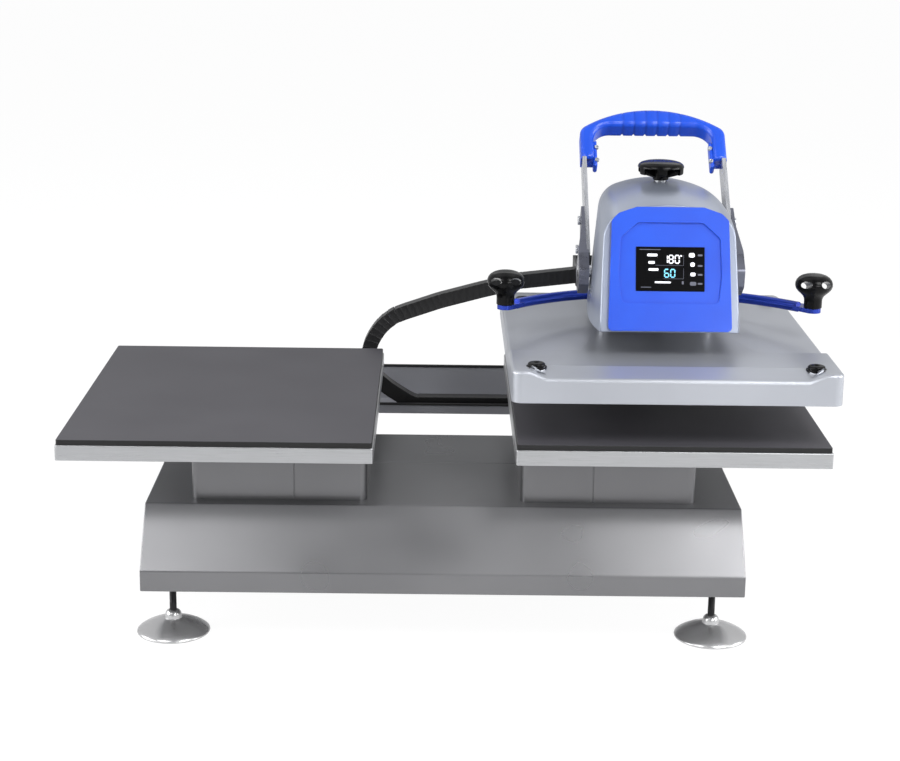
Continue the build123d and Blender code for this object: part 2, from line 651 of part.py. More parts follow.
TUBE_END = BAR_END_X - 16
bar_path = ThreePointArc((-TUBE_END, bar_y(TUBE_END), 0), (0, bar_y(0), 0), (TUBE_END, bar_y(TUBE_END), 0))
profile = Plane(origin=bar_path @ 0, z_dir=bar_path % 0) * Circle(BAR_R)
bar = sweep(profile, path=bar_path)
END_Y = bar_y(BAR_END_X)
for side in (-1, 1):
    a = (side * (TUBE_END - 2), bar_y(TUBE_END - 2))
    b = (side * BAR_END_X, END_Y)
    turn = degrees(atan2(b[1] - a[1], b[0] - a[0]))
    length = sqrt((b[0] - a[0]) ** 2 + (b[1] - a[1]) ** 2)
    tab = Location(((a[0] + b[0]) / 2, (a[1] + b[1]) / 2, 0), (0, 0, turn)) * Box(length, 22, 6)
    bar += tab + Pos(b[0], b[1], 0) * Cylinder(11, 6)
pull_bar = Pos(HEAD_X, 0, BAR_Z) * bar
clamps = []
for side in (-1, 1):
    x = HEAD_X + side * 50
    y = bar_y(50)
    clamps.append(block(x - 9, x + 9, y - 11, y + 11, BAR_Z - 9, 140))
bar_clamps = joined(clamps) - pull_bar
notch = Pos(HEAD_X, 0, BAR_Z) * sweep(Plane(origin=bar_path @ 0, z_dir=bar_path % 0) * Circle(BAR_R + 0.5),
                                     path=bar_path)
head_casing -= notch
head_casing -= Pos(0, 0, -4) * notch
head_frame -= notch

bulb = [(0, 3), (12, 3), (12, 15), (14, 20), (23, 27), (25, 34), (23.5, 41), (18, 46.5), (9, 49), (0, 49)]
knob_form = revolve(Plane.XZ * Polygon(*bulb, align=None), Axis.Z)
for side in (-1, 1):
    window = Pos(side * 13, 0, 33) * Rot(76, 0, 0) * extrude(Ellipse(5.5, 4.2), 34, both=True)
    knob_form -= window
knobs = [Pos(HEAD_X + side * BAR_END_X, END_Y, BAR_Z) * knob_form for side in (-1, 1)]
pull_knobs = group(knobs)

# Handle, drawn lying flat with its bars along Y, then leaned back about the shaft
lean = Location((HEAD_X, PIVOT_Y, PIVOT_Z), (HANDLE_LEAN, 0, 0))
BAR_IN = 93.5
BAR_OUT = 99
LUG_IN = 96.5
LUG_OUT = 110
GRIP_HALF_W = 101
GRIP_LEG = 19
GRIP_FOOT_W = 183
GRIP_SHOULDER_W = 234
GRIP_CROWN_W = 269
GRIP_UNDER_W = 240
flat_shaft = rod_x(-110, 110, 0, 0, SHAFT_R)


def side_plate(side):
    """A cast lug on the shaft end, tapering into a strap along the outside of the bar."""
    outline = Polygon((-22, -21), (-27, 6), (-14, 25), (14, 24), (66, 17), (100, 14), (100, -14),
                      (52, -17), (10, -27), (-10, -28), align=None)
    outline = fillet(outline.vertices(), 5)
    x0, x1 = sorted((side * LUG_IN, side * LUG_OUT))
    plane = Plane(origin=(x0, 0, 0), x_dir=(0, 1, 0), z_dir=(1, 0, 0))
    lug = extrude(plane * outline, LUG_OUT - LUG_IN, dir=(1, 0, 0))
    taper = Polygon((side * LUG_OUT, 20), (side * 130, 20), (side * 130, 110), (side * 103, 110),
                    (side * 104, 66), align=None)
    lug -= Pos(0, 0, -50) * extrude(taper, 100, dir=(0, 0, 1))
    x2, x3 = sorted((side * (BAR_IN - 10), side * BAR_OUT))
    bar_seat = block(x2, x3, 19.5, 120, -50, 50)
    return lug - bar_seat - flat_shaft


def flat_bar(side):
    """A flat bar inside the plate, with a narrower tongue up into the grip's leg."""
    x0, x1 = sorted((side * BAR_IN, side * BAR_OUT))
    return block(x0, x1, 20, GRIP_FOOT_W, -15, 15) + block(x0, x1, GRIP_FOOT_W, 225, -8, 8)


crown = ThreePointArc((-GRIP_HALF_W, GRIP_SHOULDER_W), (0, GRIP_CROWN_W), (GRIP_HALF_W, GRIP_SHOULDER_W))
leg_in = GRIP_HALF_W - GRIP_LEG
rest = Polyline((GRIP_HALF_W, GRIP_SHOULDER_W), (GRIP_HALF_W, GRIP_FOOT_W), (leg_in, GRIP_FOOT_W),
                (leg_in, GRIP_UNDER_W), (-leg_in, GRIP_UNDER_W), (-leg_in, GRIP_FOOT_W),
                (-GRIP_HALF_W, GRIP_FOOT_W), (-GRIP_HALF_W, GRIP_SHOULDER_W))
outline = make_face(crown.edges() + rest.edges())
outline = fillet([v for v in outline.vertices() if abs(v.Y - GRIP_SHOULDER_W) < 0.1], 16)
outline = fillet([v for v in outline.vertices() if abs(v.Y - GRIP_UNDER_W) < 0.1], 24)
GRIP_HALF = 15
grip = Pos(0, 0, -GRIP_HALF) * extrude(outline, 2 * GRIP_HALF, dir=(0, 0, 1))
rims = [e for e in grip.edges() if e.length > 1 and abs(abs(e.center().Z) - GRIP_HALF) < 0.01]
grip = fillet(rims, 7)
bars = {side: flat_bar(side) for side in (-1, 1)}
handle_screws = []
for side in (-1, 1):
    for y in (36, 84):
        plate_face = LUG_OUT - (y - 20) * (LUG_OUT - 104) / 46 if y < 66 else 103.6
        x0, x1 = sorted((side * 92.3, side * plate_face))
        x2, x3 = sorted((side * plate_face, side * (plate_face + 4)))
        handle_screws.append(rod_x(x0, x1, y, 0, 3) + rod_x(x2, x3, y, 0, 6))
plates_side = {side: side_plate(side) for side in (-1, 1)}
for screw_body in handle_screws:
    for side in (-1, 1):
        bars[side] -= screw_body
        plates_side[side] -= screw_body
grip -= bars[-1]
grip -= bars[1]
handle_bars = group([lean * bars[-1], lean * bars[1]])
handle_plates = group([lean * plates_side[-1], lean * plates_side[1]])
handle_bolts = group([lean * s for s in handle_screws])

# Drag chain, built from its lower run, its loop with a sliding tail, and its rising upper run
def chain_strip(points, height, y0, y1):
    """A chain length of one height along centre points in the X-Z plane."""
    line = Polyline(*[(x, z) for x, z in points])
    strip = trace(line, height)
    return prism_y(strip, y0, y1)


FIXED_END_X = 230
RUN_END_X = -46
LOOP = [(-46, CHAIN_RUN_Z), (-64, -84), (-84, -71), (-101, -57), (-112, -41), (-116, -23), (-112, -5),
        (-105, 11), (-93, 28)]
UPPER = [(-89, 32), (-62, 47), (-7, 66), (53, 82.5), (113, 97.5), (197, 107.5)]
half_h = CHAIN_H / 2
run_outer = block(RUN_END_X + 7, FIXED_END_X, *CHAIN_Y, CHAIN_RUN_Z - half_h, CHAIN_RUN_Z + half_h)
TAIL_HALF = 8
TAIL_Y = (CHAIN_Y[0] + 3, CHAIN_Y[1] - 3)
tail_gap = block(RUN_END_X - 5, FIXED_END_X + 5, TAIL_Y[0] - 0.5, TAIL_Y[1] + 0.5,
                 CHAIN_RUN_Z - TAIL_HALF - 0.5, CHAIN_RUN_Z + TAIL_HALF + 0.5)
chain_lower = run_outer - tail_gap
chain_loop = chain_strip(LOOP, CHAIN_H, *CHAIN_Y)
chain_loop += block(RUN_END_X - 2, FIXED_END_X - 4, *TAIL_Y, CHAIN_RUN_Z - TAIL_HALF, CHAIN_RUN_Z + TAIL_HALF)
chain_upper = chain_strip(UPPER, CHAIN_H, *CHAIN_Y)
TRAY_IN_Z = TRAY_FLOOR_Z + TRAY_SHEET
chain_bracket_fixed = block(FIXED_END_X, FIXED_END_X + 5, *CHAIN_Y, TRAY_IN_Z, CHAIN_RUN_Z + half_h)
chain_bracket_fixed += block(FIXED_END_X, FIXED_END_X + 30, *CHAIN_Y, TRAY_IN_Z, TRAY_IN_Z + 3)
chain_bracket_moving = block(197, 201, CHAIN_Y[0], 609, 92, 124) + block(197, cx0, 605, 609, 92, 124)
chain_upper -= block(197, 300, 500, 620, 0, 200)

# Mains inlet and switch well in one moulded module in the rear wall, with a rocker on stub pins
MODULE_MID_Z = (MODULE_Z[0] + MODULE_Z[1]) / 2
ROCKER_Y = BASE_DEPTH - 2
ROCKER_R = 9
ROCKER_HALF = 10
PIVOT_STUB_R = 1.5
module = block(*MODULE_X, BASE_DEPTH - 30, BASE_DEPTH, *MODULE_Z)
module += block(MODULE_X[0] - 5, MODULE_X[1] + 5, BASE_DEPTH, BASE_DEPTH + 3, MODULE_Z[0] - 4, MODULE_Z[1] + 4)
module -= block(INLET_X - 11.5, INLET_X + 11.5, BASE_DEPTH - 15, BASE_DEPTH + 4,
                MODULE_MID_Z - 7.5, MODULE_MID_Z + 7.5)
for x in (-7, 0, 7):
    module += block(INLET_X + x - 1, INLET_X + x + 1, BASE_DEPTH - 16, BASE_DEPTH - 2,
                    MODULE_MID_Z - 2.5, MODULE_MID_Z + 2.5)
module -= block(SWITCH_X - ROCKER_HALF - 1, SWITCH_X + ROCKER_HALF + 1, BASE_DEPTH - 16, BASE_DEPTH + 4,
                MODULE_MID_Z - 11, MODULE_MID_Z + 11)
power_inlet = module - rod_x(SWITCH_X - 14, SWITCH_X + 14, ROCKER_Y, MODULE_MID_Z, PIVOT_STUB_R + RUN_FIT)
rocker = rod_x(SWITCH_X - ROCKER_HALF, SWITCH_X + ROCKER_HALF, ROCKER_Y, MODULE_MID_Z, ROCKER_R)
wedge = [
    (ROCKER_Y, MODULE_MID_Z - ROCKER_R),
    (ROCKER_Y + 6, MODULE_MID_Z - 8.5),
    (ROCKER_Y + 9, MODULE_MID_Z + 8.5),
    (ROCKER_Y, MODULE_MID_Z + ROCKER_R),
]
rocker += prism_x(wedge, SWITCH_X - ROCKER_HALF, SWITCH_X + ROCKER_HALF)
power_rocker = rocker + rod_x(SWITCH_X - 13, SWITCH_X + 13, ROCKER_Y, MODULE_MID_Z, PIVOT_STUB_R)

pieces = {
    "base_cover": base_cover,
    "rear_deck": rear_deck,
    "base_frame": base_frame,
    "base_floor": base_floor,
    "pedestal_left": pedestals[-1],
    "pedestal_right": pedestals[1],
    "lower_plate_left": plates[-1],
    "lower_plate_right": plates[1],
    "rubber_pad_left": rubber_pad(LEFT),
    "rubber_pad_right": rubber_pad(RIGHT),
    "platen_bolts": platen_bolts,
    "foot_nuts": foot_nuts,
    "rear_bearer_left": bearer(-REAR_FOOT[0]),
    "rear_bearer_right": bearer(REAR_FOOT[0]),
    "rail_beam": rail_beam,
    "chain_tray": chain_tray,
    "linear_rails": linear_rails,
    "rail_stops": rail_stops,
    "chain_bracket_fixed": chain_bracket_fixed,
    "chain_lower": chain_lower,
    "power_inlet": power_inlet,
    "power_rocker": power_rocker,
    "bearing_blocks": bearing_blocks,
    "slide_carriage": slide_carriage,
    "column": column,
    "head_arm": head_arm,
    "head_frame": head_frame,
    "shaft_bushes": group(shaft_bushes),
    "guide_bushes": group(guide_bushes),
    "return_springs": return_springs,
    "head_casing": head_casing,
    "front_fascia": front_fascia,
    "display_screen": display_screen,
    "control_board": control_board,
    "pull_bar": pull_bar,
    "bar_clamps": bar_clamps,
    "pull_knobs": pull_knobs,
    "chain_bracket_moving": chain_bracket_moving,
    "chain_upper": chain_upper,
    "chain_loop": chain_loop,
    "heat_platen": heat_platen,
    "heater_element": heater_element,
    "insulation": insulation,
    "platen_cover": platen_cover,
    "cover_bolts": cover_bolts,
    "press_bracket": press_bracket,
    "guide_rods": guide_rods,
    "handle_shaft": handle_shaft,
    "toggle_crank": toggle_crank,
    "handle_plates": handle_plates,
    "handle_bars": handle_bars,
    "handle_bolts": handle_bolts,
    "handle_grip": lean * grip,
    "toggle_link": toggle_link,
    "pressure_knob": pressure_knob,
    "pressure_screw": screw,
}
pieces.update(feet)

os.makedirs("parts", exist_ok=True)
for name, shape in pieces.items():
    save(name, shape)
print(len(pieces), "nodes, y middle", Y_MID)
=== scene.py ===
from math import atan2, cos, hypot, radians, sin

import bmesh
import bpy
from mathutils import Matrix, Vector


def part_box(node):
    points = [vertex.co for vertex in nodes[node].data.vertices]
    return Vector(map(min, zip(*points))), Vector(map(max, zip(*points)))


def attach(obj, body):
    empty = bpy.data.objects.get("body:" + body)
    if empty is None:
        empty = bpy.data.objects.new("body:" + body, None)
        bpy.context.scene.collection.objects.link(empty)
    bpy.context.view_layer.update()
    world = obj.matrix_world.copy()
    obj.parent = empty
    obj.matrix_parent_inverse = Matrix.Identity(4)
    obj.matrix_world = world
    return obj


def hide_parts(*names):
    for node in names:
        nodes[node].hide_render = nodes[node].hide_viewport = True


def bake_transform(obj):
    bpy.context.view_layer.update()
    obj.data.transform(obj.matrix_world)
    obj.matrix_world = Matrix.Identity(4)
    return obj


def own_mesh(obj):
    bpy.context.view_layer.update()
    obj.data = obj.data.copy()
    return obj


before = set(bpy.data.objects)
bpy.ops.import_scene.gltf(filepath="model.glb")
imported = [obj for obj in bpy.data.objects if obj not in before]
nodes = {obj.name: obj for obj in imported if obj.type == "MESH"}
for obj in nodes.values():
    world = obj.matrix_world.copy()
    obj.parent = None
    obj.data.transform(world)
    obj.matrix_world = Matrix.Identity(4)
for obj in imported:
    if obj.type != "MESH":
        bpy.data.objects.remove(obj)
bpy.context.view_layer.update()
bpy.ops.object.select_all(action="DESELECT")

# The camera stands in front of the machine, a little above the head, and looks down at it. Its
# place and tilt were solved from the corners of both lower platens in the photograph.
CAMERA_PLACE = Vector((-0.01265, -2.69829, 0.97435))
CAMERA_DOWN = radians(14.7995)
CAMERA_ROLL = radians(-0.7555)
CAMERA_TURN = radians(-0.4448)
FOCAL_PIXELS = 1956.1
PHOTO_WIDTH = 900
SENSOR_WIDTH = 36

right = Vector((cos(CAMERA_TURN), sin(CAMERA_TURN), 0))
level = cos(CAMERA_DOWN)
forward = Vector((-sin(CAMERA_TURN) * level, cos(CAMERA_TURN) * level, -sin(CAMERA_DOWN)))
up = right.cross(forward)
axis_x = right * cos(CAMERA_ROLL) - up * sin(CAMERA_ROLL)
axis_y = right * sin(CAMERA_ROLL) + up * cos(CAMERA_ROLL)
camera_axes = Matrix((axis_x, axis_y, -forward)).transposed().to_4x4()
lens_data = bpy.data.cameras.new("photo_camera")
lens_data.sensor_width = SENSOR_WIDTH
lens_data.lens = FOCAL_PIXELS / PHOTO_WIDTH * SENSOR_WIDTH
camera = bpy.data.objects.new("photo_camera", lens_data)
camera.matrix_world = Matrix.Translation(CAMERA_PLACE) @ camera_axes
bpy.context.scene.collection.objects.link(camera)
bpy.context.scene.camera = camera
bpy.context.scene.view_settings.view_transform = "Standard"

# A plain pale floor. Seen straight or in a reflection it is close to white, and it still takes the
# machine's shadow and lights the machine from below.
FLOOR_SIZE = 30
FLOOR_GREY = (0.86, 0.86, 0.86, 1)
FLOOR_GLOW = 1.06
PURE_WHITE = (1, 1, 1, 1)
SEEN_WHITE = 0.9
SEEN_IN_GLOSS = 0.42


def node_tree(material):
    """The nodes and links of a fresh material, with its output."""
    material.use_nodes = True
    tree = material.node_tree
    tree.nodes.clear()
    return tree, tree.nodes.new("ShaderNodeOutputMaterial")


def glowing(tree, kind, color, strength):
    """An emission or background shader of one colour."""
    shader = tree.nodes.new(kind)
    shader.inputs["Color"].default_value = color
    shader.inputs["Strength"].default_value = strength
    return shader


def worked_out(tree, operation, second=None):
    """A math node, with its second value where one is given."""
    node = tree.nodes.new("ShaderNodeMath")
    node.operation = operation
    if second is not None:
        node.inputs[1].default_value = second
    return node


def seen_share(tree):
    """1 for rays that come straight or through glass, a share for reflected ones, and 0 for light."""
    path = tree.nodes.new("ShaderNodeLightPath")
    straight = worked_out(tree, "MAXIMUM")
    reflected = worked_out(tree, "MULTIPLY_ADD", SEEN_IN_GLOSS)
    reflected.use_clamp = True
    tree.links.new(path.outputs["Is Camera Ray"], straight.inputs[0])
    tree.links.new(path.outputs["Is Transmission Ray"], straight.inputs[1])
    tree.links.new(path.outputs["Is Glossy Ray"], reflected.inputs[0])
    tree.links.new(straight.outputs[0], reflected.inputs[2])
    return reflected


def mixed(tree, output, share, plain, seen):
    """Lead a mix of the plain and the seen shader, by the share, to the output."""
    mix = tree.nodes.new("ShaderNodeMixShader")
    for source, socket in zip((share, plain, seen), mix.inputs):
        tree.links.new(source.outputs[0], socket)
    tree.links.new(mix.outputs[0], output.inputs["Surface"])


bpy.ops.mesh.primitive_plane_add(size=FLOOR_SIZE, location=(0, 0, 0))
floor = bpy.context.object
floor.name = "floor"
floor_paint = bpy.data.materials.new("pale_floor")
tree, output = node_tree(floor_paint)
matt = tree.nodes.new("ShaderNodeBsdfDiffuse")
matt.inputs["Color"].default_value = FLOOR_GREY
share = worked_out(tree, "MULTIPLY", SEEN_WHITE)
tree.links.new(seen_share(tree).outputs[0], share.inputs[0])
mixed(tree, output, share, matt, glowing(tree, "ShaderNodeEmission", PURE_WHITE, FLOOR_GLOW))
floor.data.materials.append(floor_paint)

# The studio: a white surround that is dimmer as a light and in reflections, where its middle is dark
# and its sides are pale, and soft lamps overhead, in front, at both ends and behind.
MIDDLE_HALF = 0.03
SIDES_FROM = 0.28
MIDDLE_IN_GLOSS = 0.08
SIDES_IN_GLOSS = 0.55
SURROUND_TINT = (0.95, 0.97, 1, 1)
SURROUND_LIGHT = 0.30
world = bpy.data.worlds.new("studio")
bpy.context.scene.world = world
world.use_nodes = True
tree = world.node_tree
tree.nodes.clear()
output = tree.nodes.new("ShaderNodeOutputWorld")
direction = tree.nodes.new("ShaderNodeTexCoord")
parts = tree.nodes.new("ShaderNodeSeparateXYZ")
aside = worked_out(tree, "ABSOLUTE")
sides = tree.nodes.new("ShaderNodeMapRange")
sides.interpolation_type = "SMOOTHSTEP"
sides.inputs["From Min"].default_value = MIDDLE_HALF
sides.inputs["From Max"].default_value = SIDES_FROM
sides.inputs["To Min"].default_value = MIDDLE_IN_GLOSS
sides.inputs["To Max"].default_value = SIDES_IN_GLOSS
tree.links.new(direction.outputs["Generated"], parts.inputs[0])
tree.links.new(parts.outputs["X"], aside.inputs[0])
tree.links.new(aside.outputs[0], sides.inputs["Value"])
share = seen_share(tree)
tree.links.new(sides.outputs[0], share.inputs[1])
mixed(tree, output, share, glowing(tree, "ShaderNodeBackground", SURROUND_TINT, SURROUND_LIGHT),
      glowing(tree, "ShaderNodeBackground", PURE_WHITE, 1.0))


def soft_lamp(name, place, aim, size, watts):
    """A rectangular lamp at a place, pointed at the aim."""
    data = bpy.data.lights.new(name, "AREA")
    data.shape = "RECTANGLE"
    data.size, data.size_y = size
    data.energy = watts
    lamp = bpy.data.objects.new(name, data)
    lamp.location = place
    lamp.rotation_euler = (Vector(aim) - Vector(place)).to_track_quat("-Z", "Y").to_euler()
    bpy.context.scene.collection.objects.link(lamp)


soft_lamp("lamp_overhead", (0, 0.6, 2.6), (0, 0, 0.2), (2.6, 1.2), 5)
soft_lamp("lamp_front_left", (-1.4, -1.75, 2.5), (-0.3, -0.2, 0.2), (1.2, 1.2), 26)
soft_lamp("lamp_front_right", (1.4, -1.75, 2.5), (0.3, -0.2, 0.2), (1.2, 1.2), 40)
soft_lamp("lamp_front", (1.4, -3.2, 1.35), (0.3, 0, 0.35), (1.3, 0.7), 22)
soft_lamp("lamp_left", (-2.6, -0.6, 1.1), (0.1, -0.1, 0.3), (2.4, 1.4), 60)
soft_lamp("lamp_right", (2.6, -0.5, 1.1), (0.3, 0, 0.3), (1.8, 1.4), 44)
soft_lamp("lamp_back", (0.2, 3.0, 2.4), (0, 0.2, 0.3), (3.2, 1.0), 8)


# Levelling feet: a disc spun from sheet metal, moulded round the head of a black threaded stud that
# screws up into the base. All four are the same.
PLATEN_FRONT = 346.25
PADS_ABOVE_FLOOR = 270


def spot(x, y, z):
    """A place in the machine's own millimetres: X from its middle, Y back from the front edge of the
    platens, Z up from the top of the pads."""
    return Vector((x, y - PLATEN_FRONT, z + PADS_ABOVE_FLOOR)) / 1000


def linear(red, green, blue):
    """A colour given as it looks, 0 to 255, for a shader socket."""
    parts = [c / 255 for c in (red, green, blue)]
    return tuple(c / 12.92 if c <= 0.04045 else ((c + 0.055) / 1.055) ** 2.4 for c in parts) + (1,)


def shaded(tone, share):
    """A tone made darker, to a share of its light."""
    return tuple(c * share for c in tone[:3]) + (1,)


def finish_shader(name, roughness, metallic=0.0, edge=0.0006):
    """A material with a principled shader, object coordinates, and sharp edges that catch the light as
    if rounded to the edge radius."""
    material = bpy.data.materials.new(name)
    tree, output = node_tree(material)
    shader = tree.nodes.new("ShaderNodeBsdfPrincipled")
    shader.inputs["Roughness"].default_value = roughness
    shader.inputs["Metallic"].default_value = metallic
    tree.links.new(shader.outputs[0], output.inputs["Surface"])
    coordinates = tree.nodes.new("ShaderNodeTexCoord")
    bump = tree.nodes.new("ShaderNodeBump")
    if edge:
        rounding = tree.nodes.new("ShaderNodeBevel")
        rounding.samples = 4
        rounding.inputs["Radius"].default_value = edge
        tree.links.new(rounding.outputs[0], bump.inputs["Normal"])
    tree.links.new(bump.outputs[0], shader.inputs["Normal"])
    return material, tree, shader, coordinates, bump


def noise(tree, coordinates, scale, detail, stretch=(1, 1, 1)):
    """A noise pattern in object space, with its scale per metre."""
    mapping = tree.nodes.new("ShaderNodeMapping")
    mapping.inputs["Scale"].default_value = stretch
    pattern = tree.nodes.new("ShaderNodeTexNoise")
    pattern.inputs["Scale"].default_value = scale
    pattern.inputs["Detail"].default_value = detail
    tree.links.new(coordinates.outputs["Object"], mapping.inputs["Vector"])
    tree.links.new(mapping.outputs[0], pattern.inputs["Vector"])
    return pattern


def spread(tree, pattern, low, high):
    """The pattern's middle range, where nearly all of it lies, mapped to run from low to high."""
    ramp = tree.nodes.new("ShaderNodeMapRange")
    ramp.inputs["From Min"].default_value = 0.3
    ramp.inputs["From Max"].default_value = 0.7
    ramp.inputs["To Min"].default_value = low
    ramp.inputs["To Max"].default_value = high
    tree.links.new(pattern.outputs[0], ramp.inputs["Value"])
    return ramp


def two_tone(tree, shader, pattern, dark, light):
    """The base colour wandering between two tones with the pattern."""
    ramp = spread(tree, pattern, 0, 1)
    mix = tree.nodes.new("ShaderNodeMix")
    mix.data_type = "RGBA"
    mix.inputs["A"].default_value = dark
    mix.inputs["B"].default_value = light
    tree.links.new(ramp.outputs[0], mix.inputs["Factor"])
    tree.links.new(mix.outputs["Result"], shader.inputs["Base Color"])


def textured(tree, bump, pattern, strength, depth):
    """The surface raised by the pattern, as strongly and as deep as given, in metres."""
    tree.links.new(pattern.outputs[0], bump.inputs["Height"])
    bump.inputs["Strength"].default_value = strength
    bump.inputs["Distance"].default_value = depth


def machined(name, tone, roughness, stretch, metallic=1.0):
    """Metal with a fine grain drawn out along one direction."""
    material, tree, shader, coordinates, bump = finish_shader(name, roughness, metallic)
    grain = noise(tree, coordinates, 60, 3, stretch)
    two_tone(tree, shader, grain, shaded(tone, 0.86), tone)
    gloss = spread(tree, grain, roughness - 0.07, roughness + 0.08)
    tree.links.new(gloss.outputs[0], shader.inputs["Roughness"])
    textured(tree, bump, grain, 0.12, 0.00002)
    return material


def powder_coat(name, dark, light, roughness, metallic):
    """An even sprayed or plated coat: its tone and its gloss are a little cloudy."""
    material, tree, shader, coordinates, _ = finish_shader(name, roughness, metallic, 0.0009)
    two_tone(tree, shader, noise(tree, coordinates, 5, 2), dark, light)
    gloss = spread(tree, noise(tree, coordinates, 9, 1), roughness - 0.03, roughness + 0.04)
    tree.links.new(gloss.outputs[0], shader.inputs["Roughness"])
    return material


def choose(*pieces):
    """Leave edit mode and make only these pieces selected, with the first one active."""
    if bpy.context.object and bpy.context.object.mode != "OBJECT":
        bpy.ops.object.mode_set(mode="OBJECT")
    bpy.ops.object.select_all(action="DESELECT")
    for piece in pieces:
        piece.select_set(True)
    if pieces:
        bpy.context.view_layer.objects.active = pieces[0]


def open_up(piece):
    """Open a piece in edit mode, with all of its mesh selected."""
    choose(piece)
    bpy.ops.object.mode_set(mode="EDIT")
    bpy.ops.mesh.select_all(action="SELECT")


def close_up():
    """Go back to object mode."""
    bpy.ops.object.mode_set(mode="OBJECT")


def turned(name, profile, segments):
    """A solid drawn up from a disc: each step of the profile is its (radius, height) in millimetres."""
    (radius, height), *steps = profile
    choose()
    bpy.ops.mesh.primitive_circle_add(vertices=segments, radius=radius / 1000, fill_type="NGON",
                                      location=(0, 0, 0))
    piece = bpy.context.object
    piece.name = name
    open_up(piece)
    bpy.ops.transform.translate(value=(0, 0, height / 1000))
    for next_radius, next_height in steps:
        rise = (next_height - height) / 1000
        bpy.ops.mesh.extrude_region_move(TRANSFORM_OT_translate={"value": (0, 0, rise)})
        scale = next_radius / radius
        bpy.ops.transform.resize(value=(scale, scale, 1), center_override=(0, 0, next_height / 1000))
        radius, height = next_radius, next_height
    bpy.ops.mesh.select_all(action="SELECT")
    bpy.ops.mesh.normals_make_consistent(inside=False)
    close_up()
    return piece


def moved(piece, matrix):
    """Put a piece somewhere by a matrix and settle that into its mesh."""
    choose(piece)
    piece.matrix_world = matrix
    bpy.ops.object.transform_apply(location=True, rotation=True, scale=True)
    return piece


def again(piece, name, matrix):
    """Another of the same piece, with its own mesh, placed by a matrix."""
    other = bpy.data.objects.new(name, piece.data.copy())
    bpy.context.scene.collection.objects.link(other)
    return moved(other, matrix)


def put_away(*patterns):
    """Remove pieces that were only copied from."""
    for pattern in patterns:
        bpy.data.objects.remove(pattern)


def settled(piece, material, body, slot, *stands_for, smooth=35):
    """Give a finished piece its finish, smooth its round faces, keep its flat ones flat, and let it
    ride on its body. A piece without a body is left unattached."""
    choose(piece)
    piece.data.materials.clear()
    piece.data.materials.append(material)
    for face in piece.data.polygons:
        face.material_index = 0
    bpy.ops.object.shade_smooth_by_angle(angle=radians(smooth))
    if body:
        flats = piece.modifiers.new("flats", "WEIGHTED_NORMAL")
        flats.keep_sharp = True
        bpy.ops.object.modifier_apply(modifier=flats.name)
        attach(piece, body)
    if stands_for:
        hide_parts(*stands_for)
    return piece


foot_metal = powder_coat("foot_metal", linear(188, 188, 189), linear(206, 206, 207), 0.24, 0.85)
stud_black = machined("stud_black", linear(34, 34, 36), 0.4, (1, 1, 1), 0.6)
FOOT_PLACES = (("front_left", "foot_fl", -351, 40), ("front_right", "foot_fr", 351, 40),
               ("rear_left", "foot_rl", -330, 631), ("rear_right", "foot_rr", 330, 631))
FOOT_PROFILE = [(45.6, 0), (47, 0.8), (47.4, 2), (47, 3.2), (45, 5), (41, 7.6), (36, 10.3), (30, 13),
                (24, 15.3), (18, 17.2), (13.4, 18.4), (11.2, 19.2), (10.8, 20.4), (10.6, 23.6),
                (9.8, 26.4), (8.2, 28.6), (6, 29.7), (4.8, 30)]
STUD_R = 4.6
STUD_FROM = 25
THREAD_ROOT_R = 4.2
THREAD_CREST_R = 4.64
THREAD_PITCH = 1.5
THREAD_START = 40
THREAD_END = 100
ROOT_AT = 0.45
stud_profile = [(STUD_R, STUD_FROM), (STUD_R, THREAD_START)]
for turn in range(int((THREAD_END - THREAD_START) / THREAD_PITCH)):
    crest = THREAD_START + turn * THREAD_PITCH
    stud_profile += [(THREAD_ROOT_R, crest + THREAD_PITCH * ROOT_AT),
                     (THREAD_CREST_R, crest + THREAD_PITCH)]
stud_profile += [(STUD_R, 101), (3.8, 102)]
disc = turned("foot_disc", FOOT_PROFILE, 72)
stud = turned("foot_stud", stud_profile, 20)
for name, body, x, y in FOOT_PLACES:
    place = Matrix.Translation(spot(x, y, -PADS_ABOVE_FLOOR))
    node = "foot_" + name
    settled(again(disc, "disc_" + name, place), foot_metal, body, "foot_metal", node, smooth=50)
    settled(again(stud, "stud_" + name, place), stud_black, body, "foot_metal", node, smooth=50)
put_away(disc, stud)


# Base and pedestals: folded steel sheet with small bend radii, powder coated in a satin grey that has
# a little metal flake in it. Light wear shows as a faint cloudiness in the gloss.
def coat(material, *names):
    """Give CAD nodes their finish."""
    for name in names:
        mesh = nodes[name].data
        mesh.materials.clear()
        mesh.materials.append(material)


def copy_of(name, node, flatten=0.6):
    """A working copy of a CAD node's mesh, its triangles merged back into flat faces."""
    piece = bpy.data.objects.new(name, nodes[node].data.copy())
    bpy.context.scene.collection.objects.link(piece)
    open_up(piece)
    bpy.ops.mesh.remove_doubles(threshold=0.000002)
    bpy.ops.mesh.dissolve_limited(angle_limit=radians(flatten))
    close_up()
    return piece


def bevelled(piece, width, segments, angle):
    """Round every edge that is sharper than the angle, the width given in millimetres."""
    choose(piece)
    rounding = piece.modifiers.new("rounding", "BEVEL")
    rounding.width = width / 1000
    rounding.segments = segments
    rounding.limit_method = "ANGLE"
    rounding.angle_limit = radians(angle)
    bpy.ops.object.modifier_apply(modifier=rounding.name)
    return piece


